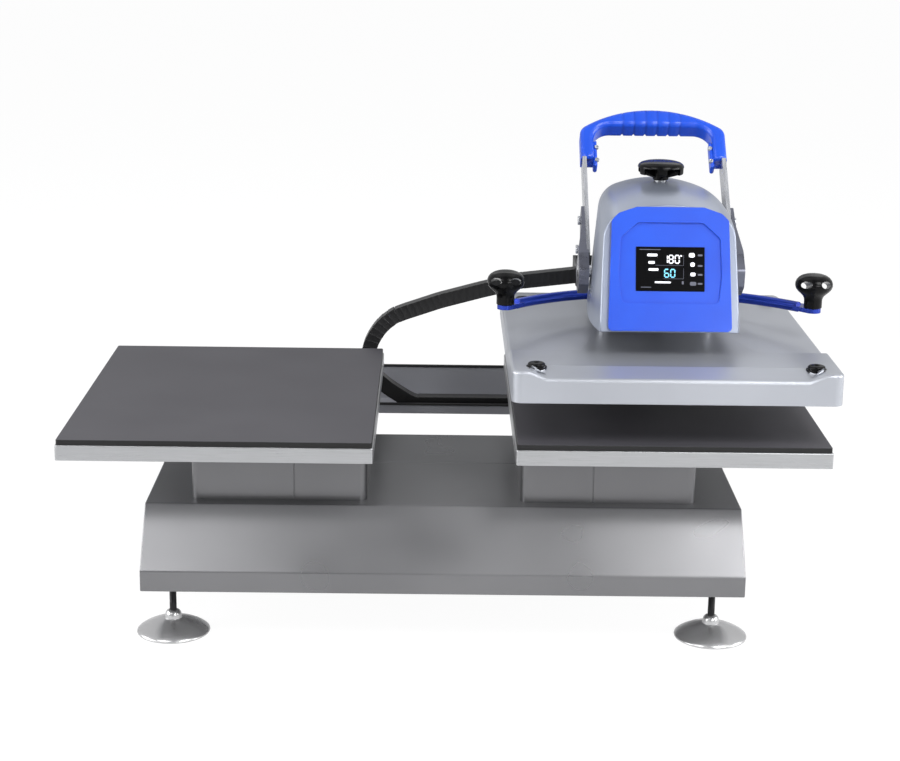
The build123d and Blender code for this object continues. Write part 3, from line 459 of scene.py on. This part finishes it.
FOLD_R = 1.6
base_paint = powder_coat("base_paint", linear(117, 117, 119), linear(127, 127, 129), 0.3, 0.75)
# The pedestals get a darker copy of the same satin grey: a painted shade for the shadow and dark
# reflections on their fronts.
pedestal_painted_shade = powder_coat("pedestal_painted_shade", linear(106, 106, 108), linear(116, 116, 118), 0.32, 0.75)
coat(base_paint, "base_floor")
coat(pedestal_painted_shade, "pedestal_left", "pedestal_right")
for name, node in (("folded_front", "base_cover"), ("folded_deck", "rear_deck")):
    settled(bevelled(copy_of(name, node), FOLD_R, 3, 25), base_paint, "base", "base_paint", node)

# Structure behind the platens: welded box section and bent plate in a plainer grey coat, and the
# chain's folded sheet tray in a paler one. The beam and the tray rest on the two bearers, and the
# carriage brings the column and the arm along the beam.
frame_paint = powder_coat("frame_paint", linear(104, 104, 106), linear(116, 116, 119), 0.5, 0.3)
coat(frame_paint, "base_frame", "rear_bearer_left", "rear_bearer_right", "rail_beam", "slide_carriage",
     "column", "head_arm")
tray_paint = powder_coat("tray_paint", linear(146, 147, 153), linear(158, 159, 165), 0.45, 0.2)
coat(tray_paint, "chain_tray")

# Lower plates and the heated platen: aluminium plate with milled edges and a fine lengthwise grain.
# The lower ones are screwed down on the pedestals.
MILLED_EDGE = 0.8
plate_aluminium = machined("plate_aluminium", linear(182, 183, 185), 0.34, (0.5, 0.5, 30))
coat(plate_aluminium, "heat_platen")
for side in ("left", "right"):
    plate = bevelled(copy_of("milled_plate_" + side, "lower_plate_" + side), MILLED_EDGE, 2, 30)
    settled(plate, plate_aluminium, "base", "plate_aluminium", "lower_plate_" + side)


# Pads: charcoal silicone sponge sheet, matt, with a fine cell texture, glued on the lower plates. The cut
# edges are slightly soft; their sides carry a near-black painted shade, much darker than the top.
def sponge(name, dark, light):
    """Soft cellular sheet, a little uneven in tone."""
    material, tree, shader, coordinates, bump = finish_shader(name, 0.5)
    shader.inputs["Specular IOR Level"].default_value = 0.4
    two_tone(tree, shader, noise(tree, coordinates, 7, 4), dark, light)
    textured(tree, bump, noise(tree, coordinates, 1500, 2), 0.25, 0.0002)
    return material


PAD_EDGE = 1.0
TOP_NORMAL = 0.6
pad_rubber = sponge("pad_rubber", linear(64, 63, 68), linear(70, 69, 74))
pad_side_painted_shade = sponge("pad_side_painted_shade", linear(12, 12, 13), linear(18, 18, 19))
for side in ("left", "right"):
    pad = bevelled(copy_of("sponge_pad_" + side, "rubber_pad_" + side), PAD_EDGE, 2, 30)
    settled(pad, pad_rubber, "base", "pad_rubber", "rubber_pad_" + side)
    # Every face of a pad that does not look steeply up gets the near-black painted shade instead of the
    # pad's own grey.
    pad.data.materials.append(pad_side_painted_shade)
    for face in pad.data.polygons:
        face.material_index = int(face.normal.z < TOP_NORMAL)
stop_rubber = sponge("stop_rubber", linear(30, 30, 31), linear(38, 38, 39))
coat(stop_rubber, "rail_stops")


# Steel, bronze, felt and plastic parts of the slide, the press mechanism and the electrics, each in
# the finish it is bought with.
def moulded(name, dark, light, roughness, texture=0.1, gloss_coat=0.0, mirror=0.5):
    """Moulded plastic with a fine spark texture, a clear gloss where asked for, and the strength of
    its mirror reflections."""
    material, tree, shader, coordinates, bump = finish_shader(name, roughness)
    two_tone(tree, shader, noise(tree, coordinates, 18, 2), dark, light)
    textured(tree, bump, noise(tree, coordinates, 1400, 2), texture, 0.0002)
    shader.inputs["Coat Weight"].default_value = gloss_coat
    shader.inputs["Coat Roughness"].default_value = 0.06
    shader.inputs["Specular IOR Level"].default_value = mirror
    return material


HEAD_X = 286
steel = machined("zinc_plated_steel", linear(176, 178, 180), 0.36, (1, 1, 1))
coat(steel, "platen_bolts", "foot_nuts", "linear_rails", "bearing_blocks", "chain_bracket_fixed",
     "head_frame", "bar_clamps", "press_bracket", "toggle_crank", "toggle_link", "pressure_screw")
spring_steel = machined("spring_steel", linear(150, 152, 156), 0.3, (1, 1, 20))
springs = settled(copy_of("coil_springs", "return_springs", 0.1), spring_steel, "head", "spring_steel",
                  "return_springs")
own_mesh(springs)
element_steel = machined("element_steel", linear(120, 118, 116), 0.45, (1, 1, 1))
coat(element_steel, "heater_element")
rod_chrome = machined("rod_chrome", linear(222, 224, 228), 0.12, (1, 1, 12))
coat(rod_chrome, "guide_rods", "handle_shaft")
bronze = machined("sintered_bronze", linear(176, 140, 84), 0.42, (1, 1, 1))
coat(bronze, "shaft_bushes", "guide_bushes")
board = moulded("circuit_board", linear(24, 92, 56), linear(30, 104, 66), 0.4)
coat(board, "control_board")
felt = sponge("insulation_felt", linear(196, 190, 176), linear(214, 208, 194))
coat(felt, "insulation")
black_plastic = moulded("black_plastic", linear(30, 30, 31), linear(38, 38, 39), 0.45)
coat(black_plastic, "power_inlet", "power_rocker")


# Tray trim: black rubber channel pushed on the folded sheet's bare edges, one strip along the top of
# the tray's rear wall and one along its front lip.
def slab(name, low, high):
    """A block between two corners, to be shaped further."""
    choose()
    bpy.ops.mesh.primitive_cube_add(size=1, location=(0, 0, 0))
    piece = bpy.context.object
    piece.name = name
    open_up(piece)
    bpy.ops.transform.resize(value=[abs(b - a) / 1000 for a, b in zip(low, high)],
                             center_override=(0, 0, 0))
    bpy.ops.transform.translate(value=[(a + b) / 2000 for a, b in zip(low, high)])
    close_up()
    return piece


def joined(name, pieces):
    """Several pieces made one mesh."""
    choose(*pieces)
    bpy.ops.object.join()
    whole = bpy.context.object
    whole.name = name
    return whole


TRIM_X = (-440, 300)
TRIM_ROUND = 0.6
TRIM_STRIPS = (((598.2, 602.8), (-54, -50.6)), ((518.6, 523), (-94, -90.6)))
trim = []
for (front, back), (under, over) in TRIM_STRIPS:
    strip = bevelled(slab("trim", (TRIM_X[0], front, under), (TRIM_X[1], back, over)), TRIM_ROUND, 2, 30)
    trim.append(moved(strip, Matrix.Translation(spot(0, 0, 0))))
settled(joined("tray_trim", trim), stop_rubber, "base", "stop_rubber")

# Drag chain: moulded black links, each a hollow frame that pivots in the next, over a bundle of
# cables. The lower run lies in the tray, the loop rises from it, and the upper run goes to the head.
LINK_PITCH = 10
LINK_L = 10.4
LINK_SIDE = 21.6
LINK_WALL = 2.2
PANEL_IN = 1.8
PANEL_DEEP = 0.4
OUTER_SHARE = 0.49


def pick(kind, test):
    """In edit mode, select the VERT, EDGE or FACE elements that pass the test."""
    bpy.ops.mesh.select_mode(type=kind)
    bpy.ops.mesh.select_all(action="DESELECT")
    mesh = bmesh.from_edit_mesh(bpy.context.object.data)
    parts = {"VERT": mesh.verts, "EDGE": mesh.edges, "FACE": mesh.faces}[kind]
    for part in parts:
        if test(part):
            part.select_set(True)
    mesh.select_flush_mode()
    bmesh.update_edit_mesh(bpy.context.object.data)


def outer_side(face):
    """Whether a face of a link looks sideways from its outside."""
    return abs(face.normal.y) > 0.9 and abs(face.calc_center_median().y) > LINK_SIDE * OUTER_SHARE / 1000


def frame_link(name):
    """One hollow link about the origin, its length along X, with a shallow panel in each side."""
    half = (LINK_L / 2, LINK_SIDE / 2, LINK_SIDE / 2)
    link = slab(name, [-side for side in half], half)
    open_up(link)
    pick("FACE", lambda f: abs(f.normal.x) > 0.9)
    bpy.ops.mesh.inset(thickness=LINK_WALL / 1000)
    bpy.ops.mesh.delete(type="FACE")
    pick("EDGE", lambda e: e.is_boundary)
    bpy.ops.mesh.bridge_edge_loops()
    pick("FACE", outer_side)
    bpy.ops.mesh.inset(thickness=PANEL_IN / 1000, depth=-PANEL_DEEP / 1000)
    bpy.ops.mesh.select_all(action="SELECT")
    bpy.ops.mesh.normals_make_consistent(inside=False)
    close_up()
    return bevelled(link, 0.5, 1, 40)


def along(points, pitch):
    """Places about a pitch apart along a line of (X, Z) points, each with its direction as an angle."""
    lengths = [hypot(b[0] - a[0], b[1] - a[1]) for a, b in zip(points, points[1:])]
    total = sum(lengths)
    count = round(total / pitch)

    def place(distance):
        distance = min(max(distance, 0), total - 0.001)
        for (a, b), length in zip(zip(points, points[1:]), lengths):
            if distance <= length:
                share = distance / length
                return a[0] + (b[0] - a[0]) * share, a[1] + (b[1] - a[1]) * share
            distance -= length
        return points[-1]

    steps = []
    for index in range(count):
        distance = (index + 0.5) * total / count
        x, z = place(distance)
        back, ahead = place(distance - pitch), place(distance + pitch)
        steps.append((x, z, atan2(ahead[1] - back[1], ahead[0] - back[0])))
    return steps


def run_of_links(name, link, points, pitch=LINK_PITCH):
    """Links set along a line in the chain's own plane, made one piece."""
    links = []
    for x, z, angle in along(points, pitch):
        turn = Matrix.Translation(spot(x, CHAIN_Y, z)) @ Matrix.Rotation(-angle, 4, "Y")
        links.append(again(link, "link", turn))
    return joined(name, links)


def small_block(name, length, side, round_by):
    """A block about the origin, its length along X and its section square."""
    half = (length / 2, side / 2, side / 2)
    return bevelled(slab(name, [-part for part in half], half), round_by, 2, 30)


CHAIN_Y = 540
RUN_Z = -94.4
CHAIN_LOWER = [(-38, RUN_Z), (230, RUN_Z)]
CHAIN_TAIL = [(-44, RUN_Z), (226, RUN_Z)]
CHAIN_LOOP = [(-40, RUN_Z), (-48, -93.4), (-64, -84), (-84, -71), (-101, -57), (-112, -41), (-116, -23),
              (-112, -5), (-105, 11), (-95, 25), (-86, 34)]
CHAIN_UPPER = [(-88, 32), (-76, 41), (-62, 47), (-7, 66), (53, 82.5), (113, 97.5), (197, 107.5)]
TAIL_SIDE = 15
CABLES_L = 6.4
CABLES_SIDE = 14
CABLE_PITCH = 5
chain_plastic = moulded("chain_plastic", linear(15, 15, 16), linear(21, 21, 22), 0.4)
full_link = frame_link("full_link")
tail_link = small_block("tail_link", LINK_L, TAIL_SIDE, 1.2)
lower_run = run_of_links("chain_lower_links", full_link, CHAIN_LOWER)
settled(lower_run, chain_plastic, "base", "chain_plastic", "chain_lower")
tail_run = run_of_links("chain_tail_links", tail_link, CHAIN_TAIL)
settled(tail_run, chain_plastic, "chain", "chain_plastic", "chain_loop")
loop_run = run_of_links("chain_loop_links", full_link, CHAIN_LOOP)
settled(loop_run, chain_plastic, "chain", "chain_plastic", "chain_loop")
upper_run = run_of_links("chain_upper_links", full_link, CHAIN_UPPER)
settled(upper_run, chain_plastic, None, "chain_plastic", "chain_upper")
cables = small_block("cables", CABLES_L, CABLES_SIDE, 2)
loop_cables = run_of_links("cables_loop", cables, CHAIN_LOOP, CABLE_PITCH)
settled(loop_cables, black_plastic, "chain", "black_plastic")
upper_cables = run_of_links("cables_upper", cables, CHAIN_UPPER, CABLE_PITCH)
settled(upper_cables, black_plastic, None, "black_plastic")
for run in (upper_run, upper_cables):
    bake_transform(run)
put_away(full_link, tail_link, cables)
bracket_black = powder_coat("bracket_black", linear(30, 30, 32), linear(38, 38, 40), 0.45, 0.2)
coat(bracket_black, "chain_bracket_moving")

# Platen cover: deep pressed steel sheet with rounded corners, sprayed a pale silver. Its rim and
# the creases of its sloping top are as soft as a press tool leaves them.
RIM_R = 4.2
CREASE_R = 1.2
RIM_ABOVE_Z = 80
PLATEN_X = 290
PLATEN_Y = 250
COVER_MIDDLE = spot(PLATEN_X, PLATEN_Y, 0)


def pressed_rim(edge):
    """Whether the edge runs between the cover's outer wall and its top."""
    tops = [face for face in edge.link_faces if face.normal.z > 0.5]
    walls = [face for face in edge.link_faces if abs(face.normal.z) < 0.1
             and face.normal.dot(face.calc_center_median() - COVER_MIDDLE) > 0]
    lowest = min(v.co.z for v in edge.verts)
    return len(tops) == 1 and len(walls) == 1 and lowest > spot(0, 0, RIM_ABOVE_Z).z


cover_paint = powder_coat("cover_paint", linear(168, 171, 178), linear(177, 180, 187), 0.38, 0.6)
cover = copy_of("cover_pressing", "platen_cover")
open_up(cover)
pick("EDGE", pressed_rim)
bpy.ops.mesh.bevel(offset=RIM_R / 1000, segments=5, profile=0.5, affect="EDGES", clamp_overlap=False)
close_up()
bevelled(cover, CREASE_R, 2, 35)
settled(cover, cover_paint, "press", "cover_paint", "platen_cover", smooth=30)


# Cover screws: four black domed caps with a hexagon socket, each with a seat ring under it, on long
# studs that hold the cover down to the heated platen.
def cut_out(piece, cutter):
    """Take the cutter's shape out of the piece and remove the cutter."""
    choose(piece)
    cut = piece.modifiers.new("cut", "BOOLEAN")
    cut.operation = "DIFFERENCE"
    cut.solver = "EXACT"
    cut.object = cutter
    bpy.ops.object.modifier_apply(modifier=cut.name)
    put_away(cutter)
    return piece


def socket_cutter(across_corners, bottom, top):
    """The hexagon that leaves a socket."""
    return turned("socket", [(across_corners / 2, bottom), (across_corners / 2, top)], 6)


def black_gloss(name):
    """Nearly black moulded plastic with a smooth skin and weak reflections."""
    return moulded(name, linear(6, 6, 7), linear(9, 9, 10), 0.2, 0.02, mirror=0.16)


cap_black = black_gloss("cap_black")
CAP_OUT = 176
CAP_ROWS = ((25, 96.5), (430, 91.5))
CAP_SPOTS = [spot(PLATEN_X + side * CAP_OUT, y, seat) for side in (-1, 1) for y, seat in CAP_ROWS]
CAP_PROFILE = [(3, -14.5), (3, -5), (13.2, -5), (13.2, -0.2), (12.6, 0.2), (11, 0.3), (11, 2.6),
               (10.7, 3.5), (9.8, 4.3), (8.4, 4.8), (6, 5)]
cap = cut_out(turned("cap", CAP_PROFILE, 40), socket_cutter(6.8, 1.6, 8))
caps = [again(cap, "cap_copy", Matrix.Translation(seat)) for seat in CAP_SPOTS]
put_away(cap)
settled(joined("cover_caps", caps), cap_black, "press", "cap_black", "cover_bolts")

# Casing: one thin arched shell of sheet metal round the mechanism, sprayed silver and screwed to the
# head frame. The rim round its leaning face is rolled over before spraying.
FACE_LEAN = radians(18.3)
ROLLED_RIM_R = 8
ON_FACE = 0.05
FACE_Y = 80
FACE_Z = 131
face_point = spot(HEAD_X, FACE_Y, FACE_Z)
face_normal = Vector((0, -cos(FACE_LEAN), sin(FACE_LEAN)))
face_up = Vector((0, sin(FACE_LEAN), cos(FACE_LEAN)))


def axes(*directions):
    """The turn that brings X, Y and Z to three directions."""
    return Matrix(directions).transposed().to_4x4()


def before_face(point):
    """How far a point stands out from the leaning face, in millimetres."""
    return (point - face_point).dot(face_normal) * 1000


def level_edge(edge, out):
    """Whether both ends of the edge stand out by this much from the leaning face."""
    return all(abs(before_face(v.co) - out) < ON_FACE for v in edge.verts)


silver_paint = powder_coat("silver_paint", linear(146, 153, 168), linear(154, 161, 176), 0.3, 0.55)
casing = copy_of("casing_shell", "head_casing")
open_up(casing)
pick("EDGE", lambda e: level_edge(e, 0) and e.calc_face_angle(0) > radians(20))
bpy.ops.mesh.bevel(offset=ROLLED_RIM_R / 1000, segments=8, profile=0.5, affect="EDGES",
                   clamp_overlap=True)
close_up()
settled(casing, silver_paint, "head", "silver_paint", "head_casing", smooth=40)

# Fascia: a blue plastic moulding, a frame round a dished panel with a soft rim, clipped on the
# casing's face.
FASCIA_OUT = 7
FASCIA_EDGE = 1.6
DISH_RIM_R = 4.2
DISH_HALF_W = 69
DISH_BOTTOM = 20
DISH_TOP = 146


def dish_rim(edge):
    """Whether the edge runs round the dish, on the level of the fascia's front."""
    across = [abs(v.co.x - face_point.x) * 1000 for v in edge.verts]
    rise = [(v.co - face_point).dot(face_up) * 1000 for v in edge.verts]
    inside = max(across) < DISH_HALF_W and DISH_BOTTOM < min(rise) and max(rise) < DISH_TOP
    return level_edge(edge, FASCIA_OUT) and inside


blue_plastic = moulded("blue_plastic", linear(8, 70, 198), linear(11, 77, 207), 0.34, 0.05, 0.15)
fascia = copy_of("fascia_moulding", "front_fascia")
open_up(fascia)
pick("EDGE", dish_rim)
bpy.ops.mesh.bevel(offset=DISH_RIM_R / 1000, segments=4, profile=0.5, affect="EDGES",
                   clamp_overlap=True)
close_up()
bevelled(fascia, FASCIA_EDGE, 4, 50)
settled(fascia, blue_plastic, "head", "blue_plastic", "front_fascia", smooth=50)

# Display: a black glass with lit figures behind it, two rows of digits with a frame round each,
# level bars at their left and a column of lit icons at their right.
GLASS_OUT = 5.0
LIT_THICK = 0.15
SCREEN_MIDDLE = 78.5
CORNER_SHARE = 0.35
FRAME_LINE = 0.35
FIGURE_H = 10
FIGURE_HALF_W = 2.6
FIGURE_LINE = 1.5
LINE_OVERLAP = 0.7
FIGURE_BARS = {"0": "abcdef", "1": "bc", "6": "acdefg", "8": "abcdefg"}
screen_glass = moulded("screen_glass", linear(3, 3, 5), linear(6, 6, 8), 0.3, 0.0, mirror=0.06)
glass = bevelled(copy_of("display_glass", "display_screen"), 0.6, 2, 30)
settled(glass, screen_glass, "head", "screen", "display_screen")


def lit_bar(u, v, width, height):
    """One lit bar with rounded corners, its middle across and up from the middle of the screen."""
    bar = slab("lit_bar", (-width / 2, -height / 2, 0), (width / 2, height / 2, LIT_THICK))
    open_up(bar)
    pick("EDGE", lambda e: abs(e.verts[0].co.z - e.verts[1].co.z) > 0.00005)
    rounding = min(width, height) * CORNER_SHARE / 1000
    bpy.ops.mesh.bevel(offset=rounding, segments=3, affect="EDGES")
    close_up()
    rise = face_up * (SCREEN_MIDDLE + v)
    place = face_point + (Vector((1, 0, 0)) * u + rise + face_normal * GLASS_OUT) / 1000
    return moved(bar, Matrix.Translation(place) @ axes(Vector((1, 0, 0)), face_up, face_normal))


def figure(number, u, v):
    """One figure made of seven possible bars."""
    half_w, half_h, line = FIGURE_HALF_W, FIGURE_H / 2, FIGURE_LINE
    long_w, long_h = half_w * 2 - line * LINE_OVERLAP, half_h - line * LINE_OVERLAP
    bars = {"a": (0, half_h, long_w, line), "g": (0, 0, long_w, line), "d": (0, -half_h, long_w, line),
            "b": (half_w, half_h / 2, line, long_h), "c": (half_w, -half_h / 2, line, long_h),
            "f": (-half_w, half_h / 2, line, long_h), "e": (-half_w, -half_h / 2, line, long_h)}
    lit_bars = [bars[letter] for letter in FIGURE_BARS[number]]
    return [lit_bar(u + across, v + rise, width, height) for across, rise, width, height in lit_bars]


def row_frame(u0, u1, v0, v1):
    """The thin line under a row of figures and at its right."""
    return [lit_bar((u0 + u1) / 2, v0, u1 - u0, FRAME_LINE),
            lit_bar(u1, (v0 + v1) / 2, FRAME_LINE, v1 - v0)]


def lit(name, tone, strength):
    """A lit pattern seen through dark glass, a little uneven from its lamps."""
    material, tree, shader, coordinates, _ = finish_shader(name, 0.25, 0, 0)
    two_tone(tree, shader, noise(tree, coordinates, 150, 1), shaded(tone, 0.8), tone)
    shader.inputs["Emission Color"].default_value = tone
    shader.inputs["Emission Strength"].default_value = strength
    return material


# The display's figures and bars, each in its own light. A bar is given by its place across and up
# from the middle of the screen, its width and its height.
UPPER_V = 12.6
LOWER_V = -5.4
WHITE_BARS = [(13.8, 17.0, 2.0, 2.0), (-23, 17.8, 13, 3.4), (-24, 8.2, 8.4, 3.4),
              (-21.5, -0.8, 12.6, 3.2), (-9.5, -17.2, 20.5, 2.2), (27.5, 18, 7.4, 5.6),
              (28.5, 6, 5.6, 5.4), (29, -6.6, 6.4, 4.6)]
DIM_BARS = [(29.2, -18.6, 8, 4.8), (-26, 24.8, 27, 0.9), (16, -17.5, 2.4, 4.2), (-31, -23.6, 13, 0.9)]
DIM_BARS += [(38.2, v, 6.0, 2.2) for v in (18, 4.4, -7, -18.6)]
lit_white = lit("lit_white", linear(232, 232, 240), 0.75)
lit_cyan = lit("lit_cyan", linear(120, 200, 232), 0.75)
lit_dim = lit("lit_dim", linear(86, 88, 100), 0.5)
white = figure("1", -6.2, UPPER_V) + figure("8", 1.0, UPPER_V) + figure("0", 8.8, UPPER_V)
white += [lit_bar(*bar) for bar in WHITE_BARS]
cyan = figure("6", -4.6, LOWER_V) + figure("0", 3.2, LOWER_V)
dim = row_frame(-19, 17, 4.6, 18) + row_frame(-9, 17, -12.5, 1)
dim += [lit_bar(*bar) for bar in DIM_BARS]
settled(joined("display_white", white), lit_white, "head", "screen")
settled(joined("display_cyan", cyan), lit_cyan, "head", "screen")
settled(joined("display_dim", dim), lit_dim, "head", "screen")

# Pressure handwheel: a domed black moulding with a rolled rim, six windows in its skirt and ribs
# down to the hub, screwed on the end of the pressure screw.
WHEEL_PROFILE = [(27, 8.2), (29.4, 8.4), (30.6, 9.4), (31, 11), (31, 17.4), (30.6, 19.4), (29.2, 21.4),
                 (26.6, 23.2), (22, 24.6), (16, 25.5), (9, 25.9), (2, 26)]
HOLLOW_PROFILE = [(24, 4), (26.6, 9), (27.4, 12), (27.4, 16), (26, 18.8), (22, 20.6), (14, 21.8), (2, 22)]
HUB_PROFILE = [(9.4, 0), (10.6, 1), (10.8, 5), (10.2, 12), (10.2, 24)]
BORE_R = 8.1
WINDOWS = 6
WINDOW_LOW = (20, -10.5, 4)
WINDOW_HIGH = (40, 10.5, 17.4)
RIB_LOW = (9.5, -2.4, 9)
RIB_HIGH = (28, 2.4, 22)
RIB_FOOT = 6
WHEEL_Y = 250
WHEEL_Z = 298.5
knob_plastic = black_gloss("knob_plastic")
wheel = cut_out(turned("wheel", WHEEL_PROFILE, 64), turned("hollow", HOLLOW_PROFILE, 48))
for turn in range(WINDOWS):
    window = bevelled(slab("window", WINDOW_LOW, WINDOW_HIGH), 2.4, 3, 30)
    cut_out(wheel, moved(window, Matrix.Rotation(radians(360 / WINDOWS * turn), 4, "Z")))
bevelled(wheel, 0.5, 2, 50)
hub = cut_out(turned("hub", HUB_PROFILE, 40), turned("bore", [(BORE_R, -2), (BORE_R, 8.2)], 32))
wheel_parts = [wheel, hub]
for turn in range(WINDOWS):
    rib = slab("rib", RIB_LOW, RIB_HIGH)
    open_up(rib)
    pick("VERT", lambda v: v.co.x * 1000 < RIB_LOW[0] + 1 and v.co.z * 1000 < RIB_LOW[2] + 1)
    bpy.ops.transform.translate(value=(0, 0, -RIB_FOOT / 1000))
    close_up()
    bevelled(rib, 0.8, 2, 30)
    wheel_parts.append(moved(rib, Matrix.Rotation(radians(360 / WINDOWS * (turn + 0.5)), 4, "Z")))
handwheel = moved(joined("handwheel", wheel_parts), Matrix.Translation(spot(HEAD_X, WHEEL_Y, WHEEL_Z)))
settled(handwheel, knob_plastic, "adjuster", "knob_plastic", "pressure_knob")

# Pull bar: bent steel tube with flattened ends, sprayed dark blue, with a black moulded mushroom knob
# screwed on at each end. Two oval windows run through each knob.
KNOB_PROFILE = [(11.2, 3), (12, 3.8), (12, 13), (12.4, 16), (14, 19.4), (17.4, 22.8), (21.2, 26.2),
                (23.8, 29.6), (25, 33.4), (24.8, 37.2), (23.4, 40.8), (20.8, 44), (17, 46.5),
                (12.4, 48.1), (7, 48.8), (2, 49)]
KNOB_OUT = 0.206
KNOB_Z = 132
OVAL_R = 7
OVAL_FLAT = 0.7
OVAL_REACH = 34
OVAL_OUT = 0.013
OVAL_UP = 0.033
OVAL_TILT = radians(76)
blue_paint = powder_coat("blue_paint", linear(30, 56, 160), linear(40, 68, 178), 0.16, 0.5)
bar = bevelled(copy_of("bent_bar", "pull_bar"), 0.8, 2, 40)
settled(bar, blue_paint, "head", "blue_paint", "pull_bar", smooth=40)
mushroom = turned("mushroom", KNOB_PROFILE, 64)
for side in (-1, 1):
    oval = turned("oval", [(OVAL_R, -OVAL_REACH), (OVAL_R, OVAL_REACH)], 28)
    moved(oval, Matrix.Diagonal((1, OVAL_FLAT, 1, 1)))
    place = Matrix.Translation((side * OVAL_OUT, 0, OVAL_UP)) @ Matrix.Rotation(OVAL_TILT, 4, "X")
    cut_out(mushroom, moved(oval, place))
bevelled(mushroom, 0.7, 2, 50)
low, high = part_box("pull_knobs")
knob_y = (low[1] + high[1]) / 2
knob_seat = spot(HEAD_X, 0, KNOB_Z)
pair = []
for side in (-1, 1):
    place = Matrix.Translation((knob_seat.x + side * KNOB_OUT, knob_y, knob_seat.z))
    pair.append(again(mushroom, "mushroom_copy", place))
put_away(mushroom)
settled(joined("mushroom_knobs", pair), knob_plastic, "head", "knob_plastic", "pull_knobs", smooth=40)

# Handle: two cast lugs clamp the cross shaft and hold, with cap screws, two polished flat steel bars
# that end in the legs of the moulded grip.
bar_steel = machined("bar_steel", linear(206, 208, 213), 0.26, (8, 0.6, 0.6), 0.75)
lug_metal = machined("lug_metal", linear(124, 126, 138), 0.3, (1, 1, 1))
for name, node, width, metal in (("cast_lugs", "handle_plates", 1.2, lug_metal),
                                 ("flat_bars", "handle_bars", 0.8, bar_steel),
                                 ("cap_screws", "handle_bolts", 0.7, bar_steel)):
    settled(bevelled(copy_of(name, node), width, 3, 30), metal, "handle", "bar_steel", node)

# Grip: blue moulded plastic in one piece with the legs that hold the bars, with finger grooves pressed
# in round the middle of its bow.
LEAN = radians(43.5)
GRIP_OUT = 0.258
GROOVES = [-40, -24, -8, 8, 24, 40]
GROOVE_HALF = 2.2
GROOVE_KEEPS = 0.88
SHAFT_Y = 212
SHAFT_Z = 180
pivot = spot(HEAD_X, SHAFT_Y, SHAFT_Z)
bar_along = Vector((0, cos(LEAN), sin(LEAN)))
bar_over = Vector((0, -sin(LEAN), cos(LEAN)))
grip = copy_of("grip_moulding", "handle_grip")
for groove in GROOVES:
    for cut in (-GROOVE_HALF, 0, GROOVE_HALF):
        open_up(grip)
        bpy.ops.mesh.bisect(plane_co=spot(HEAD_X + groove + cut, 0, 0), plane_no=(1, 0, 0))
        close_up()
open_up(grip)
for groove in GROOVES:
    pick("VERT", lambda v: abs((v.co.x - pivot.x) * 1000 - groove) < 0.05)
    middle = pivot + Vector((groove / 1000, 0, 0)) + bar_along * GRIP_OUT
    bpy.ops.transform.resize(value=(1, GROOVE_KEEPS, GROOVE_KEEPS), center_override=middle)
close_up()
settled(grip, blue_plastic, "handle", "blue_plastic", "handle_grip", smooth=30)

# Grip ears: a blue moulded lobe inside each leg of the grip, its inner edges tapered, screwed through
# to the steel bar.
EAR_ACROSS = (74, 84)
EAR_ALONG = (172, 212)
EAR_HALF = 9
EAR_MIDDLE = (0.079, 0.192)
EAR_TAPER = 0.004
EAR_REACH = 0.006
SCREW_OUT = 0.0788
SCREWS_ALONG = (181, 203)
SCREW_PROFILE = [(3.2, 8), (3.2, 10.6), (2.7, 11.4)]
handle_frame = Matrix.Translation(pivot) @ axes(Vector((1, 0, 0)), bar_along, bar_over)
ears = []
ear_screws = []
for side in (-1, 1):
    corners = [(side * x, y, z) for x, y, z in zip(EAR_ACROSS, EAR_ALONG, (-EAR_HALF, EAR_HALF))]
    ear = slab("ear", *corners)
    open_up(ear)
    pick("VERT", lambda v: v.co.y > EAR_MIDDLE[1] and abs(v.co.x) < EAR_MIDDLE[0])
    bpy.ops.transform.translate(value=(side * EAR_TAPER, EAR_REACH, 0))
    pick("VERT", lambda v: v.co.y < EAR_MIDDLE[1] and abs(v.co.x) < EAR_MIDDLE[0])
    bpy.ops.transform.translate(value=(side * EAR_TAPER, 0, 0))
    close_up()
    ears.append(moved(bevelled(ear, 3, 4, 30), handle_frame))
    for along_bar in SCREWS_ALONG:
        screw = cut_out(turned("screw", SCREW_PROFILE, 24), socket_cutter(3.2, 10, 13))
        place = Matrix.Translation((side * SCREW_OUT, along_bar / 1000, 0))
        ear_screws.append(moved(screw, handle_frame @ place))
settled(joined("grip_ears", ears), blue_plastic, "handle", "blue_plastic")
settled(joined("grip_ear_screws", ear_screws), bar_steel, "handle", "bar_steel")
